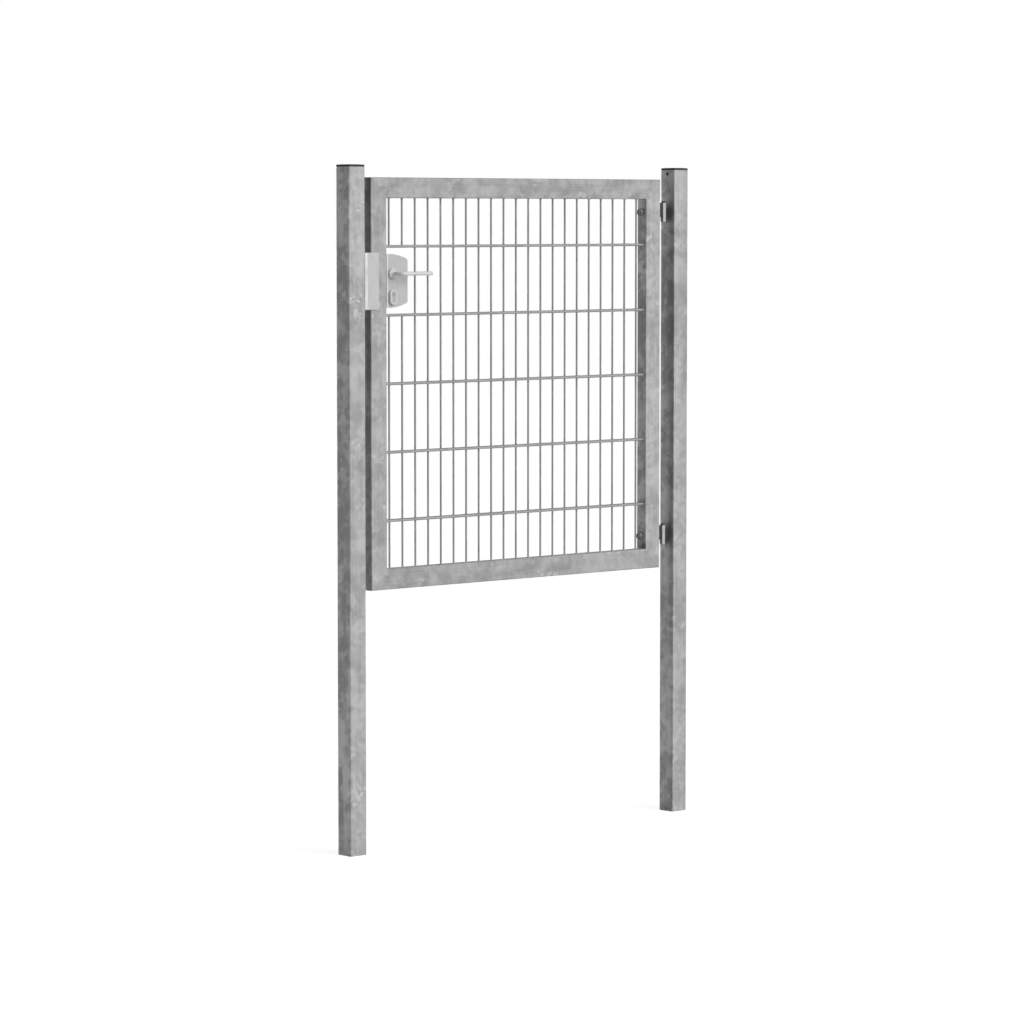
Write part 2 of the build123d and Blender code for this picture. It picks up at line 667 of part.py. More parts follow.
def follower():
    """Hub on the spindle with an arm that draws the latch back."""
    hub = Circle(FOLLOWER_RADIUS)
    arm = Pos(0, FOLLOWER_ARM_RADIUS / 2) * Rectangle(FOLLOWER_ARM_WIDTH, FOLLOWER_ARM_RADIUS)
    hole = Rectangle(SPINDLE_SIDE + 2 * SPINDLE_FIT, SPINDLE_SIDE + 2 * SPINDLE_FIT)
    section = Pos(LEVER_X, LEVER_Z) * (hub + arm - hole)
    return prism_y(section, -FOLLOWER_DEPTH / 2, FOLLOWER_DEPTH / 2)


def dead_bolt():
    """Plain bar drawn back inside the stile until the key throws it."""
    tip = LEAF_LEFT + DEAD_BOLT_REST_INSET
    half_depth = DEAD_BOLT_DEPTH / 2
    low, high = DEAD_BOLT_Z - DEAD_BOLT_HEIGHT / 2, DEAD_BOLT_Z + DEAD_BOLT_HEIGHT / 2
    return block((tip, -half_depth, low), (LEVER_X + DEAD_BOLT_TAIL, half_depth, high))


# Key cylinder

CYLINDER_HALF = LOCK_DEPTH / 2 + ESCUTCHEON_THICKNESS
CAM_SLOT_HALF = CAM_WIDTH / 2 + CAM_CLEARANCE


def cylinder_body():
    """Profile body with the bore of the plug and a slot for the cam."""
    body = prism_y(cylinder_profile(0), -CYLINDER_HALF, CYLINDER_HALF)
    bore = PLUG_DIAMETER + 2 * PLUG_RUNNING_CLEARANCE
    body -= rod_y(bore, LEVER_X, -CYLINDER_HALF, CYLINDER_HALF, CYLINDER_Z)
    slot_bottom = CYLINDER_Z - CAM_RADIUS - CAM_CLEARANCE
    body -= block((LEVER_X - CYLINDER_ROUND, -CAM_SLOT_HALF, slot_bottom),
                  (LEVER_X + CYLINDER_ROUND, CAM_SLOT_HALF, CYLINDER_Z + CYLINDER_ROUND))
    return body - cylinder_screw(SCREW_CLEARANCE)


def plug_half(side):
    """One half of the turning plug, with its keyway; side is -1 in front and 1 behind."""
    ends = sorted((side * CAM_WIDTH / 2, side * CYLINDER_HALF))
    plug = rod_y(PLUG_DIAMETER, LEVER_X, ends[0], ends[1], CYLINDER_Z)
    mouth = sorted((side * CYLINDER_HALF, side * (CYLINDER_HALF - KEYWAY_DEPTH)))
    keyway = block((LEVER_X - KEYWAY_WIDTH / 2, mouth[0], CYLINDER_Z - KEYWAY_HEIGHT / 2),
                   (LEVER_X + KEYWAY_WIDTH / 2, mouth[1], CYLINDER_Z + KEYWAY_HEIGHT / 2))
    return plug - keyway


def cylinder_cam():
    """Disc between the plug halves with the nose that throws the dead bolt, nose down at rest."""
    nose = Pos(0, -CAM_RADIUS / 2) * Rectangle(CAM_NOSE_WIDTH, CAM_RADIUS)
    section = Circle(CAM_HUB_RADIUS) + (nose & Circle(CAM_RADIUS))
    return prism_y(Pos(LEVER_X, CYLINDER_Z) * section, -CAM_WIDTH / 2, CAM_WIDTH / 2)


# Levers and trim

def square_bar(side, start, end):
    """Square bar along Y on the lever's axis."""
    half = side / 2
    return block((LEVER_X - half, start, LEVER_Z - half), (LEVER_X + half, end, LEVER_Z + half))


def lever(side):
    """Round bar bent from the spindle into a grip that points to the hinge side; side is -1 in front."""
    face = LOCK_DEPTH / 2
    arm_y = side * (face + LEVER_STAND_OFF)
    grip_end = LEVER_X + LEVER_REACH - LEVER_DIAMETER / 2
    corners = [(LEVER_X, side * face, LEVER_Z), (LEVER_X, arm_y, LEVER_Z), (grip_end, arm_y, LEVER_Z)]
    path = FilletPolyline(*corners, radius=LEVER_BEND_RADIUS)
    start = Plane(origin=(LEVER_X, side * face, LEVER_Z), z_dir=(0, side, 0))
    bar = sweep(start * Circle(LEVER_DIAMETER / 2), path=path)
    bar += Pos(grip_end, arm_y, LEVER_Z) * Sphere(LEVER_DIAMETER / 2)
    collar = sorted((side * face, side * (face + ROSE_THICKNESS)))
    bar += rod_y(COLLAR_DIAMETER, LEVER_X, collar[0], collar[1], LEVER_Z)
    depth = sorted((side * face, side * (spindle_half() + SPINDLE_FIT)))
    bar -= square_bar(SPINDLE_SIDE + 2 * SPINDLE_FIT, depth[0], depth[1])
    return bar - grub_screw(side, SCREW_CLEARANCE)


def spindle_half():
    """Half the spindle's length, so that it stops inside the straight neck."""
    return LOCK_DEPTH / 2 + LEVER_STAND_OFF - LEVER_BEND_RADIUS - SPINDLE_SHORT_OF_BEND


def spindle():
    """Square bar through the lock that joins the two levers."""
    return square_bar(SPINDLE_SIDE, -spindle_half(), spindle_half())


def grub_screw(side, growth):
    """Screw under the lever's neck that holds it on the spindle, or its hole when grown."""
    y = side * (LOCK_DEPTH / 2 + ROSE_THICKNESS + GRUB_FROM_COLLAR)
    top = LEVER_Z - SPINDLE_SIDE / 2 - SPINDLE_FIT
    return rod_z(GRUB_DIAMETER + 2 * growth, LEVER_X, y, LEVER_Z - LEVER_DIAMETER / 2, top)


def lever_rose(side):
    """Round guide plate for the lever's collar."""
    faces = sorted((side * LOCK_DEPTH / 2, side * (LOCK_DEPTH / 2 + ROSE_THICKNESS)))
    ring = rod_y(ROSE_DIAMETER, LEVER_X, faces[0], faces[1], LEVER_Z)
    outer = ring.faces().sort_by(Axis.Y)[0 if side < 0 else -1]
    ring = fillet(outer.edges(), ROSE_EDGE_RADIUS)
    bore = COLLAR_DIAMETER + 2 * COLLAR_RUNNING_CLEARANCE
    return ring - rod_y(bore, LEVER_X, faces[0], faces[1], LEVER_Z)


def cylinder_escutcheon(side):
    """Oval plate round the key cylinder's end."""
    faces = sorted((side * LOCK_DEPTH / 2, side * CYLINDER_HALF))
    middle = CYLINDER_Z + (CYLINDER_ROUND - CYLINDER_TOTAL) / 2
    oval = Pos(LEVER_X, middle) * SlotOverall(ESCUTCHEON_HEIGHT, ESCUTCHEON_WIDTH, rotation=90)
    plate = prism_y(oval, faces[0], faces[1])
    outer = plate.faces().sort_by(Axis.Y)[0 if side < 0 else -1]
    plate = fillet(outer.edges(), ESCUTCHEON_EDGE_RADIUS)
    return plate - prism_y(cylinder_profile(CYLINDER_FIT), faces[0], faces[1])


def write(name, shapes):
    """One file for each node; a group of like pieces stays separate solids."""
    solids = shapes if isinstance(shapes, list) else [shapes]
    pieces = [solid for shape in solids for solid in shape.solids()]
    node = pieces[0] if len(pieces) == 1 else Compound(children=pieces)
    export_step(node, f"parts/{name}.step")


os.makedirs("parts", exist_ok=True)

latch_post = post(-POST_X, 1)
for hole in keeper_screws(SCREW_CLEARANCE):
    latch_post -= hole
write("latch_post", latch_post)
write("hinge_post", post(POST_X, -1))
write("latch_post_cap", post_cap(-POST_X))
write("hinge_post_cap", post_cap(POST_X))
write("strike_keeper", strike_keeper())
write("keeper_screws", keeper_screws(0))

for place, height in HINGE_HEIGHTS.items():
    write(f"{place}_hinge_pintle", hinge_pintle(height))
    write(f"{place}_hinge_pin_cap", pin_cap(height))
    write(f"{place}_thrust_washer", thrust_washer(height))
    write(f"{place}_hinge_flag", hinge_flag(height))
    inner_washer = HINGE_STILE_INNER - WASHER_THICKNESS
    write(f"{place}_hinge_washers", [hinge_washer(LEAF_RIGHT, height), hinge_washer(inner_washer, height)])
    write(f"{place}_hinge_nuts", [hinge_nut(LEAF_RIGHT + WASHER_THICKNESS, height),
                                  hinge_nut(inner_washer - NUT_HEIGHT, height)])

write("lock_stile", lock_stile())
write("hinge_stile", hinge_stile())
write("top_rail", rail(LEAF_TOP, LEAF_TOP - FRAME_FACE))
write("bottom_rail", bottom_rail())
write("mesh_vertical_bars", vertical_bars())
write("mesh_front_bars", level_bars(-1))
write("mesh_rear_bars", level_bars(1))

write("lock_mounting_plate", mounting_plate())
write("lock_case", lock_case())
write("lock_case_screws", case_screws(0))
write("lock_cover_screws", cover_screws(0))
write("cylinder_body", cylinder_body())
write("cylinder_screw", cylinder_screw(0))
for place, side in {"front": -1, "rear": 1}.items():
    write(f"{place}_lock_cover", lock_cover(side))
    write(f"{place}_lever_rose", lever_rose(side))
    write(f"{place}_cylinder_escutcheon", cylinder_escutcheon(side))
    write(f"{place}_lever", lever(side))
    write(f"{place}_lever_grub_screw", grub_screw(side, 0))

write("spindle", spindle())
write("latch_follower", follower())
write("latch_bolt", latch_bolt())
write("latch_spring", latch_spring())
write("dead_bolt", dead_bolt())
write("cylinder_plug", [plug_half(-1), plug_half(1)])
write("cylinder_cam", cylinder_cam())
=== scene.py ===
import math
import random

import bmesh
import bpy
from bpy.props import FloatProperty, FloatVectorProperty, IntProperty, PointerProperty
from mathutils import Matrix, Vector


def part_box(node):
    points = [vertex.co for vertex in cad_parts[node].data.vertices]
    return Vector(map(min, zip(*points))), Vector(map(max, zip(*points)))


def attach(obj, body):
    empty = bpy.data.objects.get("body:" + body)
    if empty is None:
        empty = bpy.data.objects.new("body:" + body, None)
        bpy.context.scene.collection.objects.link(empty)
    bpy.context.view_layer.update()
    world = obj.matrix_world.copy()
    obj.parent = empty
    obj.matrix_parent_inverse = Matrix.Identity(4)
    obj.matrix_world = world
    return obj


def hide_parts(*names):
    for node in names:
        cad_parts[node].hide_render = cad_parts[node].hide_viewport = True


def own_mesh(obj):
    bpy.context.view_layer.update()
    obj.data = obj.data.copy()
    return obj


bl_info = {
    "name": "Mesh Fence Gate",
    "version": (1, 0, 0),
    "blender": (4, 5, 0),
    "location": "3D View > Sidebar > Gate",
    "description": "Finishes, welds, fasteners and a studio stage for a galvanised mesh fence gate",
    "category": "Object",
}

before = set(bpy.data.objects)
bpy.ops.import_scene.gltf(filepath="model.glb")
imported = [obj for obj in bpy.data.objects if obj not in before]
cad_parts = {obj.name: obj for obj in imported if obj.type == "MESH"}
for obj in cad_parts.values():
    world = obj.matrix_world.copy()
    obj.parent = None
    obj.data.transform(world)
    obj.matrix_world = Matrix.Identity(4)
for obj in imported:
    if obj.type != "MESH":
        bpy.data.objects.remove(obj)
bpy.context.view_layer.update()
MM = 0.001


# Settings

COLOUR = dict(subtype="COLOR", size=3, min=0, max=1)


class GateFinishes(bpy.types.PropertyGroup):
    """Colours of the gate's finishes."""
    zinc_light: FloatVectorProperty(
        name="Zinc light", description="Palest tone of the galvanised patches",
        default=(0.66, 0.66, 0.66), **COLOUR)
    zinc_dark: FloatVectorProperty(
        name="Zinc dark", description="Darkest tone of the galvanised patches",
        default=(0.40, 0.40, 0.40), **COLOUR)
    zinc_bloom: FloatVectorProperty(
        name="Zinc bloom", description="Whitish flakes where the zinc lies thick",
        default=(0.78, 0.78, 0.78), **COLOUR)
    plated: FloatVectorProperty(
        name="Plated steel", description="Bright zinc plating of the hinge parts and the small lock parts",
        default=(0.66, 0.66, 0.66), **COLOUR)
    stainless: FloatVectorProperty(
        name="Stainless", description="Brushed steel of the keeper, lock case, bolts and screws",
        default=(0.74, 0.74, 0.74), **COLOUR)
    anodised: FloatVectorProperty(
        name="Anodised", description="Satin aluminium of the lock covers",
        default=(0.62, 0.62, 0.62), **COLOUR)
    trim: FloatVectorProperty(
        name="Trim", description="Satin aluminium of the roses and escutcheons",
        default=(0.72, 0.72, 0.72), **COLOUR)
    lever: FloatVectorProperty(
        name="Lever", description="Pale satin aluminium of the levers",
        default=(0.88, 0.88, 0.88), **COLOUR)
    nickel: FloatVectorProperty(
        name="Nickel", description="Matt nickel of the key cylinder",
        default=(0.62, 0.62, 0.61), **COLOUR)
    # Painted highlight: this sheet is made pale so that its edge shows as a bright line beside the stile
    plate: FloatVectorProperty(
        name="Lock plate", description="Bright sheet between the lock and the stile",
        default=(0.90, 0.90, 0.90), **COLOUR)
    plastic: FloatVectorProperty(
        name="Black plastic", description="Post caps and hinge pin caps",
        default=(0.022, 0.022, 0.023), **COLOUR)
    # Painted shade: this dark colour is mixed in where shade and shadow fall on the zinc and on the hinge
    # blocks' side faces
    stain: FloatVectorProperty(
        name="Stain", description="Old grease and grime on the hinge post, the stiles and the hinge blocks",
        default=(0.07, 0.07, 0.07), **COLOUR)
    # Painted reflection: this pale colour stands in for the bright surroundings mirrored in the bottom
    # rail's upper face
    dust: FloatVectorProperty(
        name="PaleTopReflection", description="Pale dust on the bottom rail's upper face",
        default=(0.92, 0.92, 0.92), **COLOUR)


class GateDetails(bpy.types.PropertyGroup):
    """Sizes and counts for the welds, fasteners and drips, with sizes in millimetres."""
    weld_leg: FloatProperty(
        name="Bar weld leg", description="Size of the weld where a bar meets the frame",
        default=2.4, min=0.5, max=6)
    nugget_width: FloatProperty(
        name="Nugget width", description="Half width of the weld where two bars cross",
        default=4.3, min=1, max=8)
    bead_radius: FloatProperty(
        name="Bead radius", description="Radius of the weld beads on the frame and hinges",
        default=1.8, min=0.5, max=5)
    spring_turns: IntProperty(
        name="Spring turns", description="Turns of the latch spring", default=10, min=3, max=20)
    recess_lobes: IntProperty(
        name="Recess lobes", description="Lobes of the screw recesses", default=6, min=4, max=6)
    drip_seed: IntProperty(
        name="Drip seed", description="Choice of places for the zinc drips", default=11, min=0)


class GateStage(bpy.types.PropertyGroup):
    """Camera, lamps and floor."""
    camera_place: FloatVectorProperty(
        name="Camera place", description="Where the camera stands", subtype="TRANSLATION", unit="LENGTH",
        default=(-8.0513, -8.8328, 1.8579))
    camera_yaw: FloatProperty(
        name="Camera yaw", description="Turn to the right from straight ahead", subtype="ANGLE",
        default=math.radians(42.2588))
    camera_pitch: FloatProperty(
        name="Camera pitch", description="Tilt down from the horizon", subtype="ANGLE",
        default=math.radians(4.25))
    camera_lens: FloatProperty(
        name="Lens", description="Focal length in millimetres", default=139.975, min=20, max=300)
    key_turn: FloatProperty(
        name="Key turn", description="Turn of the key lamp to the right of the gate's front",
        subtype="ANGLE", default=math.radians(12))
    key_height: FloatProperty(
        name="Key height", description="Height of the key lamp above the horizon", subtype="ANGLE",
        default=math.radians(23))
    key_strength: FloatProperty(
        name="Key strength", description="Light of the key lamp", default=2.30, min=0, max=10)
    left_turn: FloatProperty(
        name="Left turn", description="Turn of the low left lamp towards the gate's back",
        subtype="ANGLE", default=math.radians(22))
    left_height: FloatProperty(
        name="Left height", description="Height of the left lamp above the horizon", subtype="ANGLE",
        default=math.radians(3))
    left_strength: FloatProperty(
        name="Left strength", description="Light of the low left lamp", default=0.70, min=0, max=10)
    back_turn: FloatProperty(
        name="Back turn", description="Turn of the back lamp to the right of the gate's front",
        subtype="ANGLE", default=math.radians(173))
    back_height: FloatProperty(
        name="Back height", description="Height of the back lamp above the horizon", subtype="ANGLE",
        default=math.radians(7))
    back_strength: FloatProperty(
        name="Back strength", description="Light on the gate's back", default=1.0, min=0, max=10)
    side_power: FloatProperty(
        name="Side power", description="Light of the tall soft box at the right", unit="POWER",
        default=40, min=0)
    bounce_power: FloatProperty(
        name="Bounce power", description="Soft light from the floor at the left", unit="POWER",
        default=11, min=0)
    fill_strength: FloatProperty(
        name="Fill strength", description="Even light from all around", default=0.035, min=0, max=2)
    floor_radius: FloatProperty(
        name="Floor radius", description="Reach of the pale floor", unit="LENGTH", default=30, min=5)


# Places on the gate, in millimetres

X, Y, Z = range(3)
LOW, HIGH = range(2)


def at(x, y, z):
    """Place given in millimetres, in metres."""
    return Vector((x, y, z)) * MM


def edge(name, axis, end):
    """Where a solid piece begins or ends along an axis."""
    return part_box(name)[end][axis] / MM


def middle(name, axis):
    """Middle of a solid piece along an axis."""
    return (edge(name, axis, LOW) + edge(name, axis, HIGH)) / 2


def row(name, axis, margin, count):
    """Evenly spaced places along an axis, from one end of a solid piece to the other."""
    first, last = edge(name, axis, LOW) + margin, edge(name, axis, HIGH) - margin
    return [first + (last - first) * i / (count - 1) for i in range(count)]


STILE_IN, HINGE_STILE_IN = edge("lock_stile", X, HIGH), edge("hinge_stile", X, LOW)
RAIL_LOW, RAIL_HIGH = edge("bottom_rail", Z, HIGH), edge("top_rail", Z, LOW)
LEAF_LEFT, LEAF_RIGHT = edge("lock_stile", X, LOW), edge("hinge_stile", X, HIGH)
LEAF_LOW, LEAF_HIGH = edge("bottom_rail", Z, LOW), edge("top_rail", Z, HIGH)
FRAME_HALF = edge("top_rail", Y, HIGH)
BAR_COUNT, LEVEL_COUNT = 21, 5
BAR_RADIUS = edge("mesh_vertical_bars", Y, HIGH)
BAR_X = row("mesh_vertical_bars", X, BAR_RADIUS, BAR_COUNT)
LEVEL_BAR_Y = middle("mesh_rear_bars", Y)
LEVEL_BAR_RADIUS = edge("mesh_rear_bars", Y, HIGH) - LEVEL_BAR_Y
LEVELS = row("mesh_rear_bars", Z, LEVEL_BAR_RADIUS, LEVEL_COUNT)

POST_FACE, POST_RIGHT = edge("hinge_post", X, LOW), edge("hinge_post", X, HIGH)
POST_FRONT, POST_TOP = edge("hinge_post", Y, LOW), edge("hinge_post", Z, HIGH)
HINGES = ("upper", "lower")
HINGE_X = middle("upper_hinge_pin_cap", X)
SLEEVE_WELD_X, SLEEVE_WELD_Y = HINGE_X - 7.25, 3.7
LUG_WIDTH = 14
NUT_HEIGHT, NUT_FLAT, NUT_BORE = 10, 9.5, 6.1
NUT_STEP = edge("upper_hinge_nuts", X, HIGH) - edge("upper_hinge_nuts", X, LOW) - NUT_HEIGHT
STUD_RADIUS, THREAD_PITCH = 6, 1.75

LEVER_X, LEVER_Z = middle("front_lever_rose", X), middle("front_lever_rose", Z)
CYLINDER_Z, CYLINDER_END = middle("cylinder_plug", Z), edge("cylinder_body", Y, HIGH)
COVER_HEAD, KEEPER_HEAD, CYLINDER_HEAD = 4, 5.5, 4.5
RIGHT_SCREW_X, LOW_SCREW_X = edge("lock_cover_screws", X, HIGH) - COVER_HEAD, LEVER_X + 17
COVER_SCREWS = ((RIGHT_SCREW_X, LEVER_Z),
                (RIGHT_SCREW_X, CYLINDER_Z),
                (LEVER_X, edge("lock_cover_screws", Z, HIGH) - COVER_HEAD),
                (LOW_SCREW_X, edge("lock_cover_screws", Z, LOW) + COVER_HEAD))
MIDDLE_SCREW_DROP = 2.1
KEEPER_SCREWS = (edge("keeper_screws", Z, LOW) + KEEPER_HEAD,
                 LEVER_Z - MIDDLE_SCREW_DROP,
                 edge("keeper_screws", Z, HIGH) - KEEPER_HEAD)
SPRING_Z, WIRE_RADIUS = middle("latch_spring", Z), 0.6
SPRING_RADIUS = edge("latch_spring", Z, HIGH) - SPRING_Z - WIRE_RADIUS

VENT_DROP, VENT_RADIUS = 12, 5
DRAIN_FROM_STILE = 30
DRAIN_X = (STILE_IN + DRAIN_FROM_STILE, HINGE_STILE_IN - DRAIN_FROM_STILE)


# Node helpers

VECTOR, VALUE = "NodeSocketVector", "NodeSocketFloat"
# Places of the Mix node's sockets
FIRST_VALUE, SECOND_VALUE = 2, 3
FIRST_COLOUR, SECOND_COLOUR, MIXED_COLOUR = 6, 7, 2


def feed(tree, made, values):
    """Gives inputs of a node a link from another socket, or a plain value."""
    for key, value in values.items():
        if isinstance(value, bpy.types.NodeSocket):
            tree.links.new(value, made.inputs[key])
        else:
            made.inputs[key].default_value = value


def node(tree, kind, values=None, **settings):
    """New node with its settings and what its inputs are given."""
    made = tree.nodes.new(kind)
    for key, value in settings.items():
        setattr(made, key, value)
    feed(tree, made, values or {})
    return made


def group(name, inputs, outputs):
    """New shader node group with its sockets; returns the tree and its two end nodes."""
    tree = bpy.data.node_groups.new(name, "ShaderNodeTree")
    for end, sockets in (("INPUT", inputs), ("OUTPUT", outputs)):
        for label, kind in sockets.items():
            tree.interface.new_socket(label, in_out=end, socket_type=kind)
    return tree, tree.nodes.new("NodeGroupInput"), tree.nodes.new("NodeGroupOutput")


def placed(tree, effect, values):
    """Outputs of a shared effect placed in a material."""
    return node(tree, "ShaderNodeGroup", values, node_tree=effect).outputs


def blend_values(tree, parts):
    """Weighted sum of (socket, weight) pairs."""
    total = 0
    for socket, weight in parts:
        step = node(tree, "ShaderNodeMath", {0: socket, 1: weight, 2: total}, operation="MULTIPLY_ADD")
        total = step.outputs[0]
    return total


def ramp(tree, value, low, high, to_low=0.0, to_high=1.0):
    """Value mapped softly from one span to another, clamped at both ends."""
    values = dict(enumerate((value, low, high, to_low, to_high)))
    return node(tree, "ShaderNodeMapRange", values, interpolation_type="SMOOTHSTEP").outputs[0]


def times(tree, a, b):
    """Product of two values."""
    return node(tree, "ShaderNodeMath", {0: a, 1: b}, operation="MULTIPLY").outputs[0]


def mix_value(tree, factor, a, b):
    """Value between two others."""
    return node(tree, "ShaderNodeMix", {0: factor, FIRST_VALUE: a, SECOND_VALUE: b}).outputs[0]


def mix_colour(tree, factor, a, b):
    """Colour between a and b; each is a socket or a plain colour."""
    a, b = [value if isinstance(value, bpy.types.NodeSocket) else (*value, 1) for value in (a, b)]
    values = {"Factor": factor, FIRST_COLOUR: a, SECOND_COLOUR: b}
    return node(tree, "ShaderNodeMix", values, data_type="RGBA").outputs[MIXED_COLOUR]


def vector_step(tree, operation, a, b):
    """Sum, product or other vector from two vectors, or the distance between them."""
    step = node(tree, "ShaderNodeVectorMath", {0: a, 1: b}, operation=operation)
    return step.outputs["Value" if operation == "DISTANCE" else "Vector"]


def axis_value(tree, vector, axis):
    """One coordinate of a vector."""
    return node(tree, "ShaderNodeSeparateXYZ", {0: vector}).outputs[axis]


def noise(tree, vector, scale=1.0, detail=2.0, roughness=0.5, output="Fac"):
    """Noise on a vector, as a value or a colour."""
    values = {"Vector": vector, "Scale": scale, "Detail": detail, "Roughness": roughness}
    return node(tree, "ShaderNodeTexNoise", values).outputs[output]


def mapped(tree, vector, offset=(0, 0, 0), turn=(0, 0, 0), scale=(1, 1, 1)):
    """Coordinates moved, turned and scaled for one piece."""
    values = {"Vector": vector, "Location": offset, "Rotation": turn, "Scale": scale}
    return node(tree, "ShaderNodeMapping", values).outputs[0]


def relief(tree, height, strength, distance):
    """Normals of a fine relief."""
    values = {"Height": height, "Strength": strength, "Distance": distance}
    return node(tree, "ShaderNodeBump", values).outputs[0]


# Shared effects, with patterns counted per metre

WARP, RUNS, STREAKS = (0.04, 0.04, 0.04), (40, 40, 4), (260, 260, 5)
SHADE_SPAN, STRONG_SHADE_SPAN = (0.54, 1.10), (0.66, 0.98)
FLAKE_SPAN, SWARM_SPAN = (0.68, 0.80), (0.58, 0.68)
MARK_SPAN, SIDE_SPAN = (0.3, 0.75), (0.5, 0.9)
FACE_DEPTH = 1 * MM


def zinc_patches(tree, vector, scale, smoothness):
    """One tone for each patch of the coat, with soft borders."""
    values = {"Vector": vector, "Scale": scale, "Smoothness": smoothness}
    cell = node(tree, "ShaderNodeTexVoronoi", values, feature="SMOOTH_F1")
    return node(tree, "ShaderNodeSeparateColor", {0: cell.outputs["Color"]}).outputs[0]


def zinc_mottle_group():
    """Patches, streaks and pale flakes of a hot-dip zinc coat; Along runs down the tube in Z."""
    tree, start, end = group(
        "Zinc Mottle", {"Vector": VECTOR, "Along": VECTOR},
        {"Shade": VALUE, "Strong Shade": VALUE, "Flake": VALUE, "Height": VALUE})
    place, along = start.outputs["Vector"], start.outputs["Along"]
    warp = noise(tree, place, scale=18, detail=3, output="Color")
    shift = vector_step(tree, "SUBTRACT", warp, (0.5, 0.5, 0.5))
    bent = vector_step(tree, "ADD", vector_step(tree, "MULTIPLY", shift, WARP), place)
    large = zinc_patches(tree, bent, scale=24, smoothness=0.8)
    small = zinc_patches(tree, bent, scale=60, smoothness=0.5)
    flakes = zinc_patches(tree, bent, scale=85, smoothness=0.12)
    clouds = noise(tree, place, scale=8, detail=5, roughness=0.6)
    runs = noise(tree, vector_step(tree, "MULTIPLY", along, RUNS))
    streaks = noise(tree, vector_step(tree, "MULTIPLY", along, STREAKS))
    shade = blend_values(tree, [(large, 0.20), (small, 0.20), (clouds, 0.66), (runs, 0.28),
                                (streaks, 0.30)])
    swarm = ramp(tree, noise(tree, place, scale=11), *SWARM_SPAN)
    grain = noise(tree, place, scale=420, detail=3)
    feed(tree, end, {"Shade": ramp(tree, shade, *SHADE_SPAN),
                     "Strong Shade": ramp(tree, shade, *STRONG_SHADE_SPAN),
                     "Flake": times(tree, ramp(tree, flakes, *FLAKE_SPAN), swarm),
                     "Height": blend_values(tree, [(grain, 0.6), (small, 0.4)])})
    return tree


def brushed_lines_group():
    """Fine lines left by brushing along one axis, and soft handling marks."""
    tree, start, end = group(
        "Brushed Lines", {"Along": VECTOR, "Vector": VECTOR}, {"Lines": VALUE, "Marks": VALUE})
    lines = noise(tree, start.outputs["Along"], detail=3, roughness=0.6)
    marks = noise(tree, start.outputs["Vector"], scale=55, detail=4, roughness=0.6)
    feed(tree, end, {"Lines": lines, "Marks": ramp(tree, marks, *MARK_SPAN)})
    return tree


def side_faces_group():
    """Mask of the faces to the left and right, where the zinc is more patchy and the hinge blocks take
    painted shade.
    """
    tree, start, end = group("Side Faces", {"Normal": VECTOR}, {"Mask": VALUE})
    across = axis_value(tree, start.outputs["Normal"], "X")
    size = node(tree, "ShaderNodeMath", {0: across}, operation="ABSOLUTE")
    feed(tree, end, {"Mask": ramp(tree, size.outputs[0], *SIDE_SPAN)})
    return tree


def painted_shade_group():
    """Mask of painted shade on the left face of a tube, strongest near a place; a small Squeeze draws it
    out.
    """
    tree, start, end = group(
        "Soft Stain", {"Vector": VECTOR, "Place": VECTOR, "Squeeze": VECTOR,
                       "Core": VALUE, "Reach": VALUE, "Depth": VALUE}, {"Mask": VALUE})
    given = start.outputs
    vector, place = [vector_step(tree, "MULTIPLY", given[label], given["Squeeze"])
                     for label in ("Vector", "Place")]
    gap = vector_step(tree, "DISTANCE", vector, place)
    near = ramp(tree, gap, given["Core"], given["Reach"], given["Depth"], 0)
    inward = axis_value(tree, vector_step(tree, "SUBTRACT", given["Vector"], given["Place"]), "X")
    on_face = ramp(tree, inward, FACE_DEPTH, 3 * FACE_DEPTH, 1, 0)
    feed(tree, end, {"Mask": times(tree, near, on_face)})
    return tree


# Materials

UPRIGHT, LEVEL, EVEN = (0, 0, 0), (0, math.radians(90), 0), (1, 1, 1)
LEAF_OFFSET = (0.07, -0.35, 0.29)
FLAKE_SHARE, REFLECTION_SHARE = 0.7, 0.8
LINE_DARK, LINE_LIGHT = 0.86, 1.08
MARK_ROUGHER, MARK_SMOOTHER = 0.06, 0.05
CAP_BLOOM = 0.03


def give(names, material):
    """Puts one material on solid pieces."""
    for name in names:
        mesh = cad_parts[name].data
        mesh.materials.clear()
        mesh.materials.append(material)


def new_material(name):
    """Material with its Principled shader, object coordinates and object normals."""
    made = bpy.data.materials.new(name)
    made.use_nodes = True
    tree = made.node_tree
    coords = node(tree, "ShaderNodeTexCoord").outputs
    return made, tree, tree.nodes["Principled BSDF"], coords["Object"], coords["Normal"]


def painted_reflection_mask(tree, coords, height):
    """Painted reflection: a pale tone on an upward face at one height."""
    z = axis_value(tree, coords, "Z")
    above = ramp(tree, z, height - FACE_DEPTH, height - 0.2 * FACE_DEPTH, 0, REFLECTION_SHARE)
    below = ramp(tree, z, height + FACE_DEPTH, height + 2 * FACE_DEPTH, 1, 0)
    return times(tree, above, below)


def with_painted_shade(tree, effects, coords, base, colour, place, core, reach, depth, stretch=1):
    """Base colour with one patch of painted shade; sizes are in millimetres, and stretch draws the shade out
    upright.
    """
    mask = placed(tree, effects["stain"], {
        "Vector": coords, "Place": at(*place), "Squeeze": (1, 1, 1 / stretch),
        "Core": core * MM, "Reach": reach * MM, "Depth": depth})["Mask"]
    return mix_colour(tree, mask, base, colour)


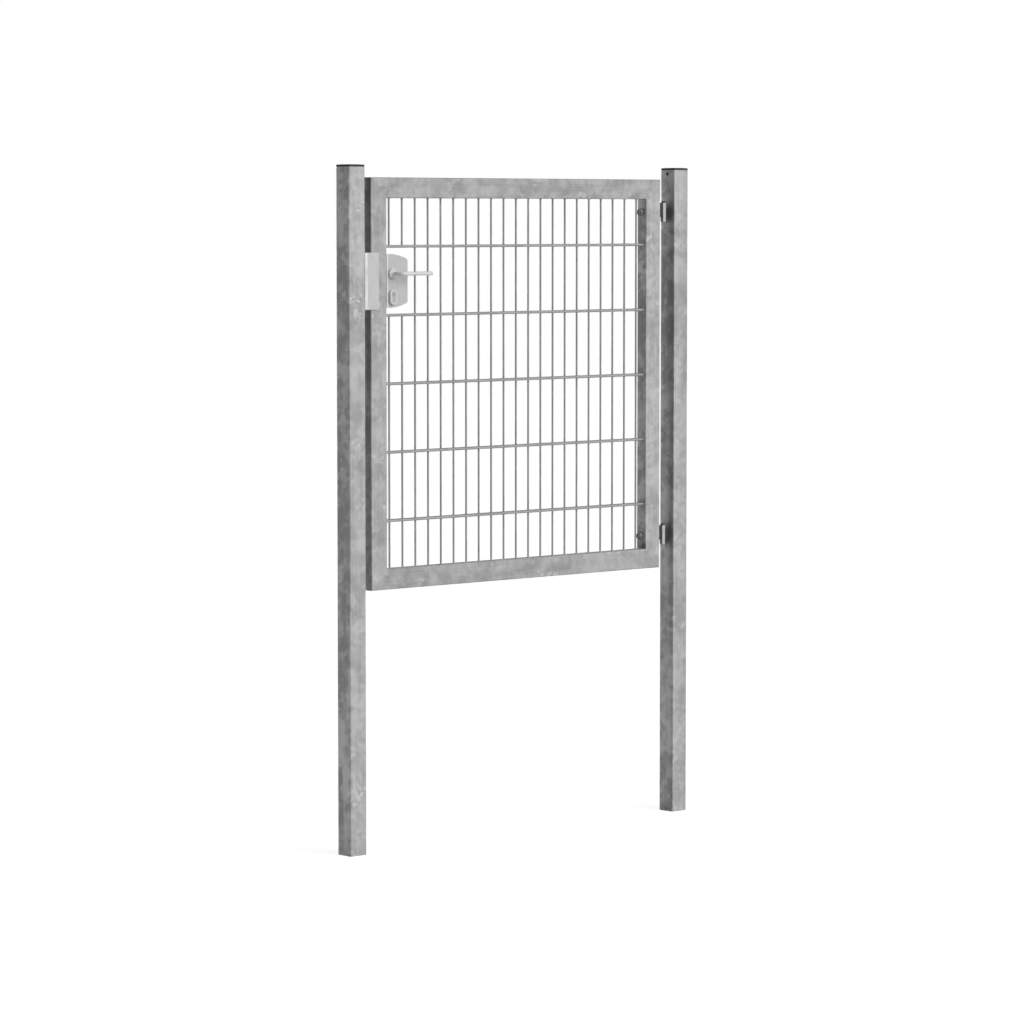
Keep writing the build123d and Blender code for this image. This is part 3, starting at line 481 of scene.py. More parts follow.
def galvanised(name, nodes, effects, finishes, tone, offset=LEAF_OFFSET, turn=UPRIGHT, scale=EVEN,
               contrast=1, painted_shades=(), right_shade=None, reflecting_top=None):
    """Hot-dip zinc with cloudy patches, pale flakes and uneven gloss.

    A low tone makes a piece darker and a low contrast makes it more even. The shade arguments give patches
    of painted shade and a painted shade that darkens to the right, from where it starts and ends and its
    depth. The last argument is the height of an upward face painted pale as a reflection. Places are in
    millimetres.
    """
    made, tree, shader, coords, normal = new_material(name)
    mottle = placed(tree, effects["zinc"], {"Vector": mapped(tree, coords, offset, scale=scale),
                                            "Along": mapped(tree, coords, offset, turn, scale)})
    sides = placed(tree, effects["sides"], {"Normal": normal})["Mask"]
    shade = mix_value(tree, sides, mottle["Shade"], mottle["Strong Shade"])
    centre = [(a + b) / 2 for a, b in zip(finishes.zinc_dark, finishes.zinc_light)]
    dark, light, bloom = [[tone * (mid + contrast * (part - mid)) for part, mid in zip(colour, centre)]
                          for colour in (finishes.zinc_dark, finishes.zinc_light, finishes.zinc_bloom)]
    base = mix_colour(tree, shade, dark, light)
    base = mix_colour(tree, blend_values(tree, [(mottle["Flake"], FLAKE_SHARE)]), base, bloom)
    # Painted shade where shade and shadow fall
    for stain in painted_shades:
        base = with_painted_shade(tree, effects, coords, base, finishes.stain, **stain)
    # Painted shade that darkens towards the right
    if right_shade:
        start, end, depth = right_shade
        mask = ramp(tree, axis_value(tree, coords, "X"), start * MM, end * MM, 0, depth)
        base = mix_colour(tree, mask, base, finishes.stain)
    # Painted reflection on the bottom rail's upper face
    if reflecting_top:
        base = mix_colour(tree, painted_reflection_mask(tree, coords, reflecting_top * MM), base, finishes.dust)
    feed(tree, shader, {"Base Color": base, "Metallic": 0.3,
                        "Roughness": ramp(tree, shade, 0, 1, to_low=0.62, to_high=0.44),
                        "Normal": relief(tree, mottle["Height"], strength=0.12, distance=0.8 * MM)})
    give(nodes, made)


def brushed(name, nodes, effects, finishes, colour, lines, metallic, roughness, grime=0):
    """Metal with brushed lines, faint handling marks and a share of painted shade on its left and right
    faces.
    """
    made, tree, shader, coords, normal = new_material(name)
    brush = placed(tree, effects["lines"], {"Along": mapped(tree, coords, scale=lines), "Vector": coords})
    plain = getattr(finishes, colour)
    dark = [LINE_DARK * part for part in plain]
    light = [min(1, LINE_LIGHT * part) for part in plain]
    tone = blend_values(tree, [(brush["Lines"], 0.6), (brush["Marks"], 0.4)])
    base = mix_colour(tree, tone, dark, light)
    # Painted shade on the left and right faces
    if grime:
        sides = placed(tree, effects["sides"], {"Normal": normal})["Mask"]
        base = mix_colour(tree, blend_values(tree, [(sides, grime)]), base, finishes.stain)
    gloss = ramp(tree, brush["Marks"], 0, 1, roughness + MARK_ROUGHER, roughness - MARK_SMOOTHER)
    feed(tree, shader, {"Base Color": base, "Metallic": metallic, "Roughness": gloss,
                        "Normal": relief(tree, brush["Lines"], strength=0.08, distance=0.3 * MM)})
    give(nodes, made)


def moulded(name, nodes, colour):
    """Black plastic with a fine spark-eroded grain and a bloom of dust."""
    made, tree, shader, coords, _ = new_material(name)
    grain = noise(tree, coords, scale=1500)
    dust = ramp(tree, noise(tree, coords, scale=40, detail=3), 0.45, 0.8, to_high=0.5)
    bloom = [part + CAP_BLOOM for part in colour]
    feed(tree, shader, {"Base Color": mix_colour(tree, dust, colour, bloom),
                        "Roughness": ramp(tree, grain, 0.2, 0.8, to_low=0.48, to_high=0.62),
                        "Normal": relief(tree, grain, strength=0.25, distance=0.4 * MM)})
    give(nodes, made)


# Finishes of the solid pieces

HINGE_SHADOW_Y, FRONT_SHADE_INSET, CORNER_SHADE_INSET = -4, 15, 5
# Painted shadow of each hinge block on the hinge post's left face
HINGE_SHADOWS = [dict(place=(POST_FACE, HINGE_SHADOW_Y, middle(f"{hinge}_hinge_flag", Z)), core=8, reach=48,
                     depth=0.82) for hinge in HINGES]
# Painted shade on the hinge post's left face, darker towards its front corner beside the leaf
POST_CORNER_SHADE = dict(place=(POST_FACE, POST_FRONT, middle("hinge_stile", Z)), core=0, reach=42, depth=0.34,
                  stretch=50)
# Painted shade on the hinge post, darker across its front towards the right edge
POST_FRONT_SHADE = (POST_FACE + FRONT_SHADE_INSET, POST_RIGHT, 0.14)
# Painted shade on the lock stile's left face in the gap by the latch post, darker towards the top
GAP_SHADE = dict(place=(LEAF_LEFT, 0, edge("lock_stile", Z, HIGH)), core=100, reach=850, depth=0.34)
# Painted shade in the lower front corner of the hinge stile's inner face, above the bottom rail
CORNER_SHADE = dict(place=(HINGE_STILE_IN, edge("hinge_stile", Y, LOW) + CORNER_SHADE_INSET, RAIL_LOW),
                    core=4, reach=35, depth=0.8)
ZINC_COATS = {
    "zinc_latch_post": dict(nodes=["latch_post"], tone=0.94, offset=(0.31, 0.17, 0.05)),
    "zinc_hinge_post": dict(
        nodes=["hinge_post", "upper_hinge_pintle", "lower_hinge_pintle"],
        tone=0.925, offset=(-0.22, 0.41, 0.63), painted_shades=[*HINGE_SHADOWS, POST_CORNER_SHADE], right_shade=POST_FRONT_SHADE),
    "zinc_lock_stile": dict(nodes=["lock_stile"], tone=0.89, painted_shades=[GAP_SHADE]),
    "zinc_hinge_stile": dict(nodes=["hinge_stile"], tone=0.93, painted_shades=[CORNER_SHADE]),
    # The bottom rail's upper face carries a painted reflection
    "zinc_rail": dict(nodes=["top_rail", "bottom_rail"], tone=0.84, turn=LEVEL, reflecting_top=RAIL_LOW),
    "zinc_bar": dict(nodes=["mesh_vertical_bars"], tone=0.74, scale=(2.2, 2.2, 1), contrast=0.4),
    "zinc_level_bar": dict(
        nodes=["mesh_front_bars", "mesh_rear_bars"],
        tone=0.85, turn=LEVEL, scale=(1, 2.2, 2.2), contrast=0.5),
    "zinc_weld": dict(nodes=[], tone=0.88, scale=(1.5, 1.5, 1.5)),
    "zinc_fastener": dict(
        nodes=["upper_hinge_nuts", "lower_hinge_nuts", "upper_hinge_washers", "lower_hinge_washers"],
        tone=0.48),
}
BRUSHED_COATS = {
    "stainless": dict(
        nodes=["strike_keeper", "keeper_screws", "lock_case", "lock_cover_screws", "lock_case_screws",
               "cylinder_screw", "latch_bolt", "dead_bolt"],
        colour="stainless", lines=(900, 900, 14), metallic=0.45, roughness=0.36),
    "plated_steel": dict(
        nodes=["upper_thrust_washer", "lower_thrust_washer", "spindle", "latch_follower", "latch_spring",
               "front_lever_grub_screw", "rear_lever_grub_screw"],
        colour="plated", lines=(160, 160, 160), metallic=0.45, roughness=0.38),
    # The hinge blocks' side faces take painted shade
    "hinge_steel": dict(
        nodes=["upper_hinge_flag", "lower_hinge_flag"],
        colour="plated", lines=(160, 160, 160), metallic=0.45, roughness=0.38, grime=0.4),
    "anodised": dict(
        nodes=["front_lock_cover", "rear_lock_cover"],
        colour="anodised", lines=(1400, 1400, 1400), metallic=0.3, roughness=0.42),
    # Painted highlight: the pale sheet's edge stands in for a bright line beside the stile
    "stainless_plate": dict(
        nodes=["lock_mounting_plate"],
        colour="plate", lines=(1200, 1200, 60), metallic=0.2, roughness=0.4),
    "anodised_trim": dict(
        nodes=["front_lever_rose", "rear_lever_rose", "front_cylinder_escutcheon",
               "rear_cylinder_escutcheon"],
        colour="trim", lines=(1400, 1400, 1400), metallic=0.25, roughness=0.4),
    "anodised_lever": dict(
        nodes=["front_lever", "rear_lever"],
        colour="lever", lines=(90, 1400, 1400), metallic=0.1, roughness=0.42),
    "nickel": dict(
        nodes=["cylinder_body", "cylinder_plug", "cylinder_cam"],
        colour="nickel", lines=(1200, 60, 1200), metallic=0.5, roughness=0.34),
}
PLASTIC_NODES = ["latch_post_cap", "hinge_post_cap", "upper_hinge_pin_cap", "lower_hinge_pin_cap"]


class GATE_OT_finishes(bpy.types.Operator):
    """Makes every finish and puts it on the gate's solid pieces"""
    bl_idname = "gate.finishes"
    bl_label = "Finishes"

    def execute(self, context):
        finishes = context.scene.gate_finishes
        effects = {"zinc": zinc_mottle_group(), "lines": brushed_lines_group(),
                   "sides": side_faces_group(), "stain": painted_shade_group()}
        for name, coat in ZINC_COATS.items():
            galvanised(name, effects=effects, finishes=finishes, **coat)
        for name, coat in BRUSHED_COATS.items():
            brushed(name, effects=effects, finishes=finishes, **coat)
        moulded("black_plastic", PLASTIC_NODES, finishes.plastic)
        return {"FINISHED"}


# Shape helpers

GALVANISED, PLATED, STAINLESS = "galvanised_steel", "zinc_plated_steel", "stainless_steel"
NICKELLED, PLASTIC = "nickelled_brass", "black_plastic"
MERGE_GAP, SHARP_ANGLE = 0.005, math.radians(35)
BEAD_PITCH, BEAD_LEAST, BEAD_END, BEAD_DIP = 1.5, 4, 0.55, 0.86


def turned_place(place, axis):
    """Matrix that stands a flat shape at a place, square to an axis."""
    return Matrix.Translation(place) @ Vector(axis).to_track_quat("Z", "Y").to_matrix().to_4x4()


def sized_place(place, size):
    """Matrix that gives a unit shape its size in millimetres at a place."""
    return Matrix.Translation(place) @ Matrix.Diagonal(Vector(size) * MM).to_4x4()


def all_of(shape):
    """Every vertex, edge and face of a shape."""
    return shape.verts[:] + shape.edges[:] + shape.faces[:]


def only(kind, items):
    """Parts of one kind from a mixed list."""
    return [item for item in items if isinstance(item, kind)]


def add_object(name, data):
    """New object in the scene."""
    made = bpy.data.objects.new(name, data)
    bpy.context.scene.collection.objects.link(made)
    return made


def lathe(shape, profile, place, axis, steps=24, closed=False):
    """Turns a profile of (radius, height along the axis) pairs in millimetres round an axis."""
    along = Vector(axis).normalized()
    out = along.orthogonal().normalized()
    before = len(shape.verts)
    line = [shape.verts.new(place + MM * (radius * out + height * along)) for radius, height in profile]
    pairs = list(zip(line, line[1:])) + ([(line[-1], line[0])] if closed else [])
    edges = [shape.edges.new(pair) for pair in pairs]
    bmesh.ops.spin(shape, geom=line + edges, cent=place, axis=along, angle=math.tau, steps=steps,
                   use_merge=True)
    return list(shape.verts)[before:]


def bead(shape, start, end, radius):
    """Weld bead between two places, with ripples and narrow ends."""
    path = end - start
    count = max(BEAD_LEAST, round(path.length / (BEAD_PITCH * MM)))
    sizes = [BEAD_END] + [1.0 if i % 2 else BEAD_DIP for i in range(1, count)] + [BEAD_END]
    ring = bmesh.ops.create_circle(shape, cap_ends=True, segments=8, radius=sizes[0] * radius * MM,
                                   matrix=turned_place(start, path))["verts"]
    rim = list({side for vert in ring for side in vert.link_edges})
    for i in range(count):
        made = bmesh.ops.extrude_edge_only(shape, edges=rim)["geom"]
        ring = set(only(bmesh.types.BMVert, made))
        rim = [side for side in only(bmesh.types.BMEdge, made) if ring.issuperset(side.verts)]
        bmesh.ops.translate(shape, vec=path / count, verts=list(ring))
        factor = sizes[i + 1] / sizes[i]
        centre = start + path * (i + 1) / count
        bmesh.ops.scale(shape, vec=(factor, factor, factor), space=Matrix.Translation(-centre),
                        verts=list(ring))
    bmesh.ops.contextual_create(shape, geom=rim)


def soften(shape, size, steps):
    """Rounds all edges of a shape."""
    bmesh.ops.bevel(shape, geom=shape.edges[:], offset=size * MM, segments=steps, profile=0.5,
                    affect="EDGES", material=-1)


def piece(name, shape, material, body, slot, *nodes):
    """Object from a finished shape that moves with a body, and may stand for solid pieces."""
    bmesh.ops.remove_doubles(shape, verts=shape.verts, dist=MERGE_GAP * MM)
    bmesh.ops.recalc_face_normals(shape, faces=shape.faces)
    if not shape.faces:
        raise RuntimeError(f"{name} has no faces")
    mesh = bpy.data.meshes.new(name)
    shape.to_mesh(mesh)
    shape.free()
    mesh.materials.append(bpy.data.materials[material])
    mesh.shade_smooth()
    mesh.set_sharp_from_angle(angle=SHARP_ANGLE)
    made = add_object(name, mesh)
    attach(made, body)
    if nodes:
        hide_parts(*nodes)
    return made


# Welds

NUGGET_DEPTH, NUGGET_HEIGHT, NUGGET_CHANGE = 1.7, 0.9, 0.1
WELD_HOLLOW, WELD_SUNK = 0.32, 0.05
STUB_OFF_FACE, STUB_PAST_BAR, STUB_FROM_FRONT = 0.5, 2, 5


class GATE_OT_mesh_welds(bpy.types.Operator):
    """Adds the weld nuggets where bars cross and the welds where bars meet the frame"""
    bl_idname = "gate.mesh_welds"
    bl_label = "Mesh Welds"

    def execute(self, context):
        details = context.scene.gate_details
        shape = bmesh.new()
        for x in BAR_X:
            for z in LEVELS:
                for side in (-1, 1):
                    uneven = math.sin(x * 7 + z * 3 + side)
                    width = details.nugget_width * (1 + NUGGET_CHANGE * uneven)
                    size = (width, NUGGET_DEPTH, NUGGET_HEIGHT * width)
                    bmesh.ops.create_uvsphere(shape, u_segments=8, v_segments=5, radius=1,
                                              matrix=sized_place(at(x, side * BAR_RADIUS, z), size))
        piece("mesh_weld_nuggets", shape, "zinc_weld", "leaf", GALVANISED)

        shape = bmesh.new()
        leg = details.weld_leg
        curve = ((leg, 0), (WELD_HOLLOW * leg, WELD_HOLLOW * leg), (-WELD_SUNK, leg))
        bar_weld, level_weld = [[(radius + out, up) for out, up in curve]
                                for radius in (BAR_RADIUS, LEVEL_BAR_RADIUS)]
        for x in BAR_X:
            lathe(shape, bar_weld, at(x, 0, RAIL_LOW), (0, 0, 1), steps=12)
            lathe(shape, bar_weld, at(x, 0, RAIL_HIGH), (0, 0, -1), steps=12)
        for z in LEVELS:
            for y in (-LEVEL_BAR_Y, LEVEL_BAR_Y):
                lathe(shape, level_weld, at(STILE_IN, y, z), (1, 0, 0), steps=12)
                lathe(shape, level_weld, at(HINGE_STILE_IN, y, z), (-1, 0, 0), steps=12)
            for x in (STILE_IN + STUB_OFF_FACE, HINGE_STILE_IN - STUB_OFF_FACE):
                start = at(x, -LEVEL_BAR_Y - STUB_PAST_BAR, z)
                bead(shape, start, at(x, STUB_FROM_FRONT - FRAME_HALF, z), details.bead_radius)
        piece("mesh_end_welds", shape, "zinc_weld", "leaf", GALVANISED)
        return {"FINISHED"}


SEAM_SUNK, SEAM_INSET = 0.9, 0.06
CORNER_LEAN, CORNER_BEAD_HALF = 0.3, FRAME_HALF - 3


class GATE_OT_frame_welds(bpy.types.Operator):
    """Adds the ground seams along the mitres and the beads inside the corners of the leaf"""
    bl_idname = "gate.frame_welds"
    bl_label = "Frame Welds"

    def execute(self, context):
        radius = context.scene.gate_details.bead_radius
        corners = [(outer_x, inner_x, outer_z, inner_z)
                   for outer_x, inner_x in ((LEAF_LEFT, STILE_IN), (LEAF_RIGHT, HINGE_STILE_IN))
                   for outer_z, inner_z in ((LEAF_LOW, RAIL_LOW), (LEAF_HIGH, RAIL_HIGH))]
        seams, beads = bmesh.new(), bmesh.new()
        sunk = FRAME_HALF - SEAM_SUNK * radius
        for outer_x, inner_x, outer_z, inner_z in corners:
            inset_x, inset_z = SEAM_INSET * (inner_x - outer_x), SEAM_INSET * (inner_z - outer_z)
            for y in (-sunk, sunk):
                start = at(outer_x + inset_x, y, outer_z + inset_z)
                bead(seams, start, at(inner_x - inset_x, y, inner_z - inset_z), radius)
            x = inner_x + math.copysign(CORNER_LEAN, inset_x)
            z = inner_z + math.copysign(CORNER_LEAN, inset_z)
            bead(beads, at(x, -CORNER_BEAD_HALF, z), at(x, CORNER_BEAD_HALF, z), radius)
        piece("frame_mitre_seams", seams, "zinc_weld", "leaf", GALVANISED)
        piece("frame_corner_beads", beads, "zinc_weld", "leaf", GALVANISED)
        return {"FINISHED"}


LUG_BEAD, SLEEVE_BEAD, LUG_BEAD_OFF_POST = 0.8, 0.75, 0.4
SLEEVE_BEAD_RISE, SLEEVE_BEAD_DROP = 2, 1


class GATE_OT_hinge_welds(bpy.types.Operator):
    """Adds the beads that hold the lugs to the post and the sleeves to their blocks"""
    bl_idname = "gate.hinge_welds"
    bl_label = "Hinge Welds"

    def execute(self, context):
        radius = context.scene.gate_details.bead_radius
        lugs, sleeves = bmesh.new(), bmesh.new()
        x = POST_FACE - LUG_BEAD_OFF_POST
        for hinge in HINGES:
            pintle, washer = f"{hinge}_hinge_pintle", f"{hinge}_thrust_washer"
            low, high = edge(pintle, Z, LOW), edge(washer, Z, LOW)
            back = edge(pintle, Y, HIGH)
            front = back - LUG_WIDTH
            for z in (low, high):
                bead(lugs, at(x, front, z), at(x, back, z), LUG_BEAD * radius)
            for y in (front, back):
                bead(lugs, at(x, y, low), at(x, y, high), LUG_BEAD * radius)
            bottom = edge(washer, Z, HIGH) + SLEEVE_BEAD_RISE
            top = edge(f"{hinge}_hinge_flag", Z, HIGH) - SLEEVE_BEAD_DROP
            for y in (-SLEEVE_WELD_Y, SLEEVE_WELD_Y):
                bead(sleeves, at(SLEEVE_WELD_X, y, bottom), at(SLEEVE_WELD_X, y, top), SLEEVE_BEAD * radius)
        piece("hinge_lug_welds", lugs, "zinc_hinge_post", "posts", GALVANISED)
        piece("hinge_sleeve_welds", sleeves, "plated_steel", "leaf", PLATED)
        return {"FINISHED"}


# Fasteners

NUT_FACE, NUT_MOUTH, NUT_CHAMFER = 0.94 * NUT_FLAT, 0.5, math.radians(30)
# The tip's rim holds pairs of a distance out and along, the ridge pairs of a distance along and out
TIP_RISE, TIP_CHAMFER, TIP_RIM = 0.6, 1, ((0.1, -0.4), (-0.3, -0.8))
RIDGE, RIDGE_TURNS, RIDGE_STEPS = ((0.1, -0.2), (0.7, 0.35), (1.3, -0.2)), 1.5, 36


def hex_nut(shape, place):
    """Chamfered hexagon nut along X, turned first and then cut flat on six sides."""
    corner = NUT_FLAT / math.cos(math.radians(30))
    chamfer = (corner - NUT_FACE) * math.tan(NUT_CHAMFER)
    profile = [(NUT_BORE, NUT_MOUTH), (NUT_BORE + NUT_MOUTH, 0), (NUT_FACE, 0), (corner, chamfer),
               (corner, NUT_HEIGHT - chamfer), (NUT_FACE, NUT_HEIGHT), (NUT_BORE + NUT_MOUTH, NUT_HEIGHT),
               (NUT_BORE, NUT_HEIGHT - NUT_MOUTH)]
    lathe(shape, profile, place, (1, 0, 0), steps=48, closed=True)
    bmesh.ops.remove_doubles(shape, verts=shape.verts, dist=MERGE_GAP * MM)
    for i in range(6):
        angle = math.radians(30 + 60 * i)
        out = Vector((0, math.cos(angle), math.sin(angle)))
        cut = bmesh.ops.bisect_plane(shape, geom=all_of(shape), plane_co=place + NUT_FLAT * MM * out,
                                     plane_no=out, clear_outer=True)
        bmesh.ops.contextual_create(shape, geom=only(bmesh.types.BMEdge, cut["geom_cut"]))


class GATE_OT_nuts(bpy.types.Operator):
    """Puts chamfered nuts and threads on the hinge studs"""
    bl_idname = "gate.nuts"
    bl_label = "Hinge Nuts"

    def execute(self, context):
        threads = bmesh.new()
        tip = [(0, TIP_RISE), (STUD_RADIUS - TIP_CHAMFER, TIP_RISE)]
        tip += [(STUD_RADIUS + out, along) for out, along in TIP_RIM]
        for hinge in HINGES:
            nuts = f"{hinge}_hinge_nuts"
            height, stud_end = middle(nuts, Z), edge(f"{hinge}_hinge_flag", X, LOW)
            shape = bmesh.new()
            hex_nut(shape, at(edge(nuts, X, LOW), 0, height))
            copy = bmesh.ops.duplicate(shape, geom=all_of(shape))["geom"]
            bmesh.ops.translate(shape, vec=at(NUT_STEP, 0, 0), verts=only(bmesh.types.BMVert, copy))
            piece(f"{hinge}_hex_nuts", shape, "zinc_fastener", "leaf", PLATED, nuts)
            lathe(threads, tip, at(stud_end, 0, height), (-1, 0, 0))
            ridge = [threads.verts.new(at(stud_end + along, 0, height + STUD_RADIUS + out))
                     for along, out in RIDGE]
            edges = [threads.edges.new(pair) for pair in zip(ridge, ridge[1:])]
            bmesh.ops.spin(threads, geom=ridge + edges, cent=at(0, 0, height), axis=(1, 0, 0),
                           steps=RIDGE_STEPS, angle=RIDGE_TURNS * math.tau,
                           dvec=at(RIDGE_TURNS * THREAD_PITCH / RIDGE_STEPS, 0, 0))
        piece("hinge_stud_threads", threads, "zinc_fastener", "leaf", PLATED)
        return {"FINISHED"}


RECESS_TAPER, RECESS_LIP, RECESS_INSIDE, RECESS_OUTSIDE = 0.2, 0.05, 0.3, 0.1
LOBE_DEPTH, CROSS_LOBES, CROSS_DEPTH = 0.16, 4, 0.22
# Rims are width and drop, recesses mouth and depth, shanks and tips radius and place along the screw
COVER_RIM, COVER_RECESS, COVER_SHANK = (0.15, 0.12), (1.6, 1.5), (2.0, -2.0)
KEEPER_RIM, KEEPER_RECESS, KEEPER_RADIUS, KEEPER_CONE = (0.2, 0.15), (2.3, 1.9), 3.0, 2.6
KEEPER_TIP, KEEPER_THREAD_START = ((0, -16), (1.4, -15)), -13
KEEPER_GROOVE, KEEPER_HALF_PITCH, KEEPER_HALF_TURNS = 0.45, 0.7, 14
CYLINDER_RIM, CYLINDER_RECESS, CYLINDER_SHANK = (0.15, 0.12), (1.9, 1.5), (2.5, -2.0)
CYLINDER_TIP = ((0, 0), (2.1, 0.4), (2.5, 0.9))


def screw_head(head, rim, recess):
    """Outline of a countersunk head with its recess, from the middle out and level with its face."""
    (rim_width, rim_drop), (mouth, depth) = rim, recess
    return [(0, -depth - RECESS_TAPER), (mouth - RECESS_TAPER, -depth), (mouth, -RECESS_LIP),
            (head - rim_width, 0), (head, -rim_drop)]


def cut_lobes(verts, place, axis, recess, lobes, depth):
    """Waves the wall of a round recess, so that it takes a driver."""
    low, high = recess[0] - RECESS_INSIDE, recess[0] + RECESS_OUTSIDE
    along = Vector(axis).normalized()
    first = along.orthogonal().normalized()
    second = along.cross(first)
    for vert in verts:
        arm = vert.co - place
        arm -= arm.dot(along) * along
        if low * MM < arm.length < high * MM:
            angle = math.atan2(arm.dot(second), arm.dot(first))
            vert.co += arm * depth * math.cos(lobes * angle)


def edge_screw(shape, place, shank, head, recess, lobes, depth):
    """Screw along X whose face lies at a place."""
    verts = lathe(shape, shank + head[::-1], place, (1, 0, 0))
    floor = place.x - (recess[1] + RECESS_INSIDE) * MM
    cut_lobes([vert for vert in verts if vert.co.x > floor], place, (1, 0, 0), recess, lobes, depth)


class GATE_OT_screws(bpy.types.Operator):
    """Puts countersunk screws with lobed recesses in the lock covers, the keeper and the lock's edge"""
    bl_idname = "gate.screws"
    bl_label = "Screws"

    def execute(self, context):
        lobes = context.scene.gate_details.recess_lobes
        shape = bmesh.new()
        half = screw_head(COVER_HEAD, COVER_RIM, COVER_RECESS) + [COVER_SHANK]
        profile = [(radius, -FRAME_HALF - height) for radius, height in half]
        profile += [(radius, FRAME_HALF + height) for radius, height in reversed(half)]
        for x, z in COVER_SCREWS:
            verts = lathe(shape, profile, at(x, 0, z), (0, 1, 0))
            cut_lobes(verts, at(x, 0, z), (0, 1, 0), COVER_RECESS, lobes, LOBE_DEPTH)
        piece("lock_cover_lobed_screws", shape, "stainless", "leaf", STAINLESS, "lock_cover_screws")

        shape = bmesh.new()
        thread = [(KEEPER_RADIUS - KEEPER_GROOVE * (i % 2), KEEPER_THREAD_START + KEEPER_HALF_PITCH * i)
                  for i in range(KEEPER_HALF_TURNS)]
        shank = [*KEEPER_TIP, *thread, (KEEPER_RADIUS, -KEEPER_CONE)]
        head = screw_head(KEEPER_HEAD, KEEPER_RIM, KEEPER_RECESS)
        for z in KEEPER_SCREWS:
            place = at(edge("keeper_screws", X, HIGH), middle("keeper_screws", Y), z)
            edge_screw(shape, place, shank, head, KEEPER_RECESS, lobes, LOBE_DEPTH)
        piece("keeper_lobed_screws", shape, "stainless", "posts", STAINLESS, "keeper_screws")

        shape = bmesh.new()
        length = edge("cylinder_screw", X, HIGH) - edge("cylinder_screw", X, LOW)
        tip = [(radius, along - length) for radius, along in CYLINDER_TIP]
        head = screw_head(CYLINDER_HEAD, CYLINDER_RIM, CYLINDER_RECESS)
        place = at(edge("cylinder_screw", X, HIGH), 0, middle("cylinder_screw", Z))
        edge_screw(shape, place, [*tip, CYLINDER_SHANK], head, CYLINDER_RECESS, CROSS_LOBES, CROSS_DEPTH)
        piece("cylinder_cross_screw", shape, "stainless", "leaf", STAINLESS, "cylinder_screw")
        return {"FINISHED"}


WIRE_SIDES, COIL_STEPS = 8, 20


class GATE_OT_spring(bpy.types.Operator):
    """Winds the latch spring and gives the coil a mesh of its own"""
    bl_idname = "gate.spring"
    bl_label = "Latch Spring"

    def execute(self, context):
        turns = context.scene.gate_details.spring_turns
        start, end = edge("latch_spring", X, LOW), edge("latch_spring", X, HIGH)
        shape = bmesh.new()
        first = at(start + WIRE_RADIUS, 0, SPRING_Z + SPRING_RADIUS)
        bmesh.ops.create_circle(shape, segments=WIRE_SIDES, radius=WIRE_RADIUS * MM,
                                matrix=turned_place(first, (0, 1, 0)))
        steps = COIL_STEPS * turns
        length = end - start - 2 * WIRE_RADIUS
        bmesh.ops.spin(shape, geom=shape.verts[:] + shape.edges[:], cent=at(0, 0, SPRING_Z), axis=(1, 0, 0),
                       steps=steps, angle=turns * math.tau, dvec=at(length / steps, 0, 0))
        ends = [side for side in shape.edges if side.is_boundary]
        bmesh.ops.holes_fill(shape, edges=ends, sides=WIRE_SIDES)
        coil = piece("latch_coil_spring", shape, "plated_steel", "leaf", PLATED, "latch_spring")
        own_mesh(coil)
        return {"FINISHED"}


# Small forms, with outlines as pairs of a distance out and a height

PLUG_RIM = ((6.62, -0.1), (6.75, 0.3), (7.35, 0.3), (7.65, -0.1))
WARD_SIZE, WARD_DEPTH, WARD_PLACES = (0.6, 9, 1.1), 5.2, ((-0.85, 1.4), (0.85, -0.9))


class GATE_OT_cylinder_faces(bpy.types.Operator):
    """Adds the turned rims round the key plug and the wards in its keyway"""
    bl_idname = "gate.cylinder_faces"
    bl_label = "Cylinder Faces"

    def execute(self, context):
        rims, wards = bmesh.new(), bmesh.new()
        for side in (-1, 1):
            face = at(LEVER_X, side * CYLINDER_END, CYLINDER_Z)
            lathe(rims, PLUG_RIM, face, (0, side, 0), steps=32, closed=True)
            for x, z in WARD_PLACES:
                place = at(LEVER_X + x, side * (CYLINDER_END - WARD_DEPTH), CYLINDER_Z + z)
                bmesh.ops.create_cube(wards, size=1, matrix=sized_place(place, WARD_SIZE))
        soften(wards, size=0.12, steps=2)
        piece("cylinder_plug_rims", rims, "nickel", "leaf", NICKELLED)
        piece("keyway_wards", wards, "nickel", "key", NICKELLED)
        return {"FINISHED"}


LIP = ((0, -0.5), (0.1, 0.2), (0.7, 0.5), (1.6, 0.25), (2.2, -0.1))
DRIP_COUNT, DRIP_RADIUS, DRIP_LENGTH = 12, (0.8, 1.5), (1.0, 2.6)
DRIP_FROM_END, DRIP_HALF_SPREAD = 30, 12
DRIP, DRIP_FOOT, DRIP_SUNK = ((0, 1), (0.45, 0.9), (0.7, 0.6), (0.75, 0.3), (1.3, 0.08)), 2.2, 0.05


